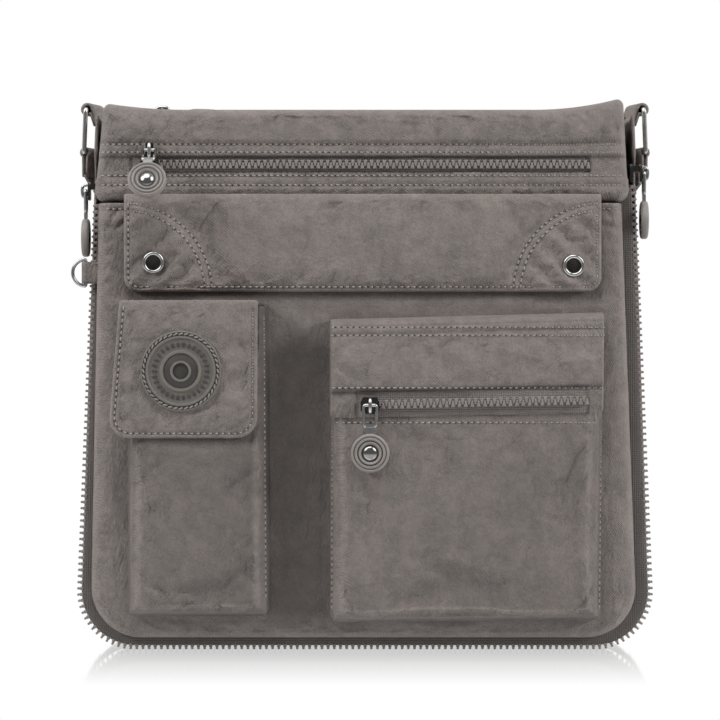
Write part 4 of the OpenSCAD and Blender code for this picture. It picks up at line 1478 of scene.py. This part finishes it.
BAR_OUT = 0.00425
yoke_bar, pocket_bar = joint_at("yoke_pull_swing"), joint_at("pocket_pull_swing")
YOKE_RISE = yoke_bar.translation.z - 0.243
slider("yoke_slider_casting", "yoke_slider", "yoke_slider_body", YOKE_RISE, 0.0,
       yoke_bar @ Matrix.Translation((0, BAR_OUT, -YOKE_RISE)))
slider("pocket_slider_casting", "pocket_slider", "pocket_slider_body", 0.0, 0.0,
       pocket_bar @ Matrix.Translation((0, BAR_OUT, 0)))
facing_up = Matrix.Rotation(-math.pi / 2, 4, "X")
main_bar = joint_at("main_pull_swing") @ facing_up
slider("main_slider_casting", "main_slider", "main_slider_body", 0.0, math.pi / 2,
       main_bar @ Matrix.Translation((0, BAR_OUT, 0)))
pull("yoke_pull", "yoke_pull_link", "yoke_pull_disc", "yoke_pull",
     math.radians(60), math.radians(25), yoke_bar)
pull("pocket_pull", "pocket_pull_link", "pocket_pull_disc", "pocket_pull", 0.0, 0.0, pocket_bar)
lying = main_bar @ Matrix.Rotation(-math.pi / 2, 4, "Y")
pull("main_pull", "main_pull_link", "main_pull_disc", "main_pull", math.radians(-3), math.radians(-3), lying)
for side, word in ((-1, "left"), (1, "right")):
    bar_at = joint_at(word + "_expansion_pull_swing")
    pull(word + "_expansion_pull", "expansion_pull_%s_link" % word, "expansion_pull_%s_disc" % word,
         word + "_expansion_pull", 0.0, 0.0, bar_at @ Matrix.Rotation(math.pi / 2, 4, "Z"))
    outward = Matrix.Rotation(side * math.pi / 2, 4, "Z")
    outline = [(-0.0040, -0.0046), (0.0040, -0.0046), (0.0044, 0.0010), (0.0026, 0.0048), (-0.0026, 0.0048),
               (-0.0044, 0.0010)]
    plates = [block("plate", outline, y, y + 0.0013, 0.0004, dark_metal) for y in (-0.0030, 0.0018)]
    post = block("post", [(-0.0014, 0.0008), (0.0014, 0.0008), (0.0010, 0.0040), (-0.0010, 0.0040)],
                 -0.0018, 0.0019, 0.0003, dark_metal)
    arch = [(0, -0.0026, -0.0034), (0, -0.0050, -0.0032), (0, -0.0060, -0.0018), (0, -0.0061, 0.0018),
            (0, -0.0050, 0.0032), (0, -0.0026, 0.0034)]
    whole = joined(word + "_expansion_casting", [*plates, post, wire("bridge", arch, 0.0008)])
    whole.data.transform(bar_at @ Matrix.Translation((-side * 0.0041, 0, 0)) @ outward)
    belongs(whole, "back_half", "metal", "expansion_slider_" + word)

# ---- Strap rings ----
# A trapezoid ring of bright wire hangs in a fabric loop at each upper corner.
# A smaller D-ring is held by a webbing tab on the left edge of the front half.


def bent_band(name, path, width_axis, width, thickness, material, cols=8):
    """A flat band of cloth swept along a path, its width along one axis."""
    axis = Vector(width_axis)
    verts = [Vector(p) + axis * width * (j / cols - 0.5) for p in path for j in range(cols + 1)]
    return thicken(add_piece(name, verts, grid_faces(len(path), cols), material), thickness, 0)


def wrap(centre, radius, start, end, count=14):
    """Points in X and Z round a bar, from one angle to another in degrees."""
    turns = [math.radians(start + (end - start) * k / count) for k in range(count + 1)]
    return [(centre[0] + radius * math.cos(a), centre[1], centre[2] + radius * math.sin(a)) for a in turns]



def ring_frame(word):
    """A strap ring's hanging bar: its middle, and a frame with Y along the bar and Z up."""
    swing = next(k for k in frame["joints"] if k["name"] == word + "_ring_swing")
    rear = Vector(swing["axis"]) * (1 if swing["axis"][1] > 0 else -1)
    side_on = rear.cross(Vector((0, 0, 1)))
    turn = Matrix((side_on, rear, (0, 0, 1))).transposed().to_4x4()
    return Matrix.Translation(Vector(swing["pos_m"])) @ turn


STRAP = 0.025
STRAP_ROWS = (-0.0102, 0.0102)
for side, word in ((-1, "left"), (1, "right")):
    body = word + "_strap_ring"
    put = ring_frame(word)
    drop = put.translation.z - (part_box("strap_ring_" + word)[0][2] + 0.00125)
    shape = []
    corners = [(-0.0135, -drop), (0.0135, -drop), (0.011, 0.0), (-0.011, 0.0)]
    for k in range(4):
        (y0, z0), (y1, z1), (y2, z2) = corners[k - 1], corners[k], corners[(k + 1) % 4]
        to_last, to_next = Vector((y0 - y1, z0 - z1)).normalized(), Vector((y2 - y1, z2 - z1)).normalized()
        for step, way in ((0.0035, to_last), (0.0008, to_last), (0.0008, to_next), (0.0035, to_next)):
            shape.append((0.0, y1 + way.x * step, z1 + way.y * step))
    ring = wire(word + "_strap_ring_wire", shape, 0.00125, True)
    ring.data.transform(put)
    belongs(ring, body, "metal", "strap_ring_" + word)
    inner = [(-0.0056, 0, -0.013), (-0.0048, 0, -0.006)] + wrap((0, 0, 0), 0.0027, 170, -130)
    inner.append((-0.0042, 0, -0.0085))
    inner = [(x * side, y, z) for x, y, z in inner]
    loop = bent_band(word + "_ring_loop", inner, (0, 1, 0), 0.018, 0.0014, cloth)
    loop.data.transform(put)
    belongs(loop, "back_half", "nylon", "strap_loop_" + word)
    tail = [(0.0009, 0, -drop - 0.0125)] + wrap((0, 0, -drop), 0.0022, -60, 240)
    tail.append((-0.0009, 0, -drop - 0.0125))
    end = bent_band(word + "_strap_end", tail, (0, 1, 0), STRAP - 0.001, 0.0013, cloth)
    end.data.transform(put)
    belongs(end, body, "nylon", "strap_end_" + word)

post = joint_at("d_ring_swing").translation
bow = [(post.x, post.y, post.z - 0.0060), (post.x, post.y, post.z), (post.x, post.y, post.z + 0.0060)]
bow += [(post.x - 0.0068 * math.sin(a), post.y, post.z + 0.0068 * math.cos(a))
        for a in (math.radians(8 + 164 * k / 14) for k in range(15))]
belongs(wire("d_ring_wire", bow, 0.0009, True), "key_ring", "metal", "d_ring")
fold_round = [(post.x + 0.0018 * math.cos(a), post.y + 0.0018 * math.sin(a), post.z)
              for a in (math.radians(60 + 240 * k / 12) for k in range(13))]
fold_round = [(post.x + 0.0105, post.y + 0.0012, post.z),
              (post.x + 0.004, post.y + 0.0015, post.z),
              *fold_round,
              (post.x + 0.004, post.y - 0.0013, post.z),
              (post.x + 0.0105, post.y - 0.0006, post.z)]
tab = bent_band("d_ring_tab", fold_round, (0, 0, 1), 0.011, 0.0009, cloth)
belongs(tab, "front_half", "nylon", "ring_tab")

# ---- Shoulder strap ----
# About 1.65 m of doubled nylon strap, 25 mm wide, sewn round both rings and joined by a slider.
# It is put away behind the bag: two flat runs down the back, and the rest folded on its edge.
bundle_low, bundle_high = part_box("strap_bundle")
straps = []
for side, word in ((-1, "left"), (1, "right")):
    low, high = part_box("strap_run_" + word)
    x = (low[0] + STRAP / 2) if side > 0 else (high[0] - STRAP / 2)
    y = high[1] - 0.0007
    down = [(x, y + 0.0006 * creases(0.0, z, 0.05, side * 7.0), z)
            for z in np.linspace(0.226, bundle_high[2] - 0.020, 40)]
    run = bent_band(word + "_strap_run", down, (1, 0, 0), STRAP, 0.0014, cloth)
    straps.append(run)
    edges = [[(x + shift, y + 0.0008, z) for x, y, z in down] for shift in STRAP_ROWS]
    sew(word + "_strap_stitches", "back_half", edges)
    put = ring_frame(word)
    hang = put.translation
    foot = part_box("strap_end_" + word)[0][2]
    rear = put.to_3x3() @ Vector((0, 1, 0))
    wide = abs(hang.x)
    around = [(wide, -0.03), (wide, 0.024)]
    around += [(wide - 0.0085 + 0.0085 * math.cos(a), 0.024 + 0.0085 * math.sin(a))
               for a in (math.pi / 2 * k / 8 for k in range(1, 9))] + [(0.06, 0.0325)]
    runs = np.concatenate([[0], np.cumsum([math.dist(a, b) for a, b in zip(around, around[1:])])])
    start_at = hang.y + 0.03
    end_at = runs[-1] - (abs(x) - 0.06)
    verts, cols, steps = [], 12, 24
    for k in range(steps + 1):
        t = k / steps
        ease = t * t * (3 - 2 * t)
        joining = 1 - min(t / 0.5, 1)
        for j in range(cols + 1):
            s = j / cols - 0.5
            at = start_at + (end_at - start_at) * ease + s * STRAP
            bent = Vector((side * np.interp(at, runs, [q[0] for q in around]),
                           np.interp(at, runs, [q[1] for q in around]), foot + 0.0005 - 0.014 * t))
            hung = Vector((hang.x, hang.y, bent.z)) + rear * STRAP * s
            verts.append(bent.lerp(hung, joining))
    twist = add_piece(word + "_strap_turn", verts, grid_faces(steps + 1, cols), cloth)
    thicken(twist, 0.0014, 0)
    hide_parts("strap_run_" + word)
    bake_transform(twist)
layers = 5
path = []
for k in range(layers):
    y = bundle_low[1] + 0.0012 + k * 0.0022
    rise = STRAP / 2 + (0.0003, 0.0016, 0.0006, 0.0013, 0.0004)[k]
    ends = (bundle_low[0] + 0.004, bundle_high[0] - 0.004 - 0.006 * (k % 2))
    xs = np.linspace(*(ends if k % 2 == 0 else ends[::-1]), 40)
    path += [(x, y + 0.0005 * creases(x, k * 1.0, 0.05, 9.0), rise) for x in xs]
    if k < layers - 1:
        out = 1 if k % 2 == 0 else -1
        path += [(xs[-1] + out * 0.0011 * math.sin(a), y + 0.0011 - 0.0011 * math.cos(a), rise)
                 for a in (math.radians(t) for t in (40, 90, 140))]
bundle = bent_band("strap_bundle_folds", path, (0, 0, 1), STRAP, 0.0014, cloth, 6)
outer = [(x, y + 0.0008, z) for x, y, z in path[-40:]]
bundle_rows = [[(x, y, z + shift) for x, y, z in outer] for shift in STRAP_ROWS]
sew("bundle_stitches", "back_half", bundle_rows)
whole_strap = joined("shoulder_strap", [bundle, *straps])
belongs(whole_strap, "back_half", "nylon", "strap_bundle")

low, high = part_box("strap_adjuster")
cx, cz, mid = (low[0] + high[0]) / 2, (low[2] + high[2]) / 2, (low[1] + high[1]) / 2
frame_path = [(sx * 0.0142 + cx, mid, sz * 0.0078 + cz) for sx, sz in
              ((-1, -0.6), (-1, 0.6), (-0.85, 1), (0.85, 1), (1, 0.6), (1, -0.6), (0.85, -1), (-0.85, -1))]
buckle = wire("adjuster_frame", frame_path, 0.0011, True)
bar_wire = wire("adjuster_bar", [(cx - 0.0142, mid, cz), (cx, mid, cz), (cx + 0.0142, mid, cz)], 0.0011)
belongs(joined("strap_slide_buckle", [buckle, bar_wire]), "back_half", "metal", "strap_adjuster")
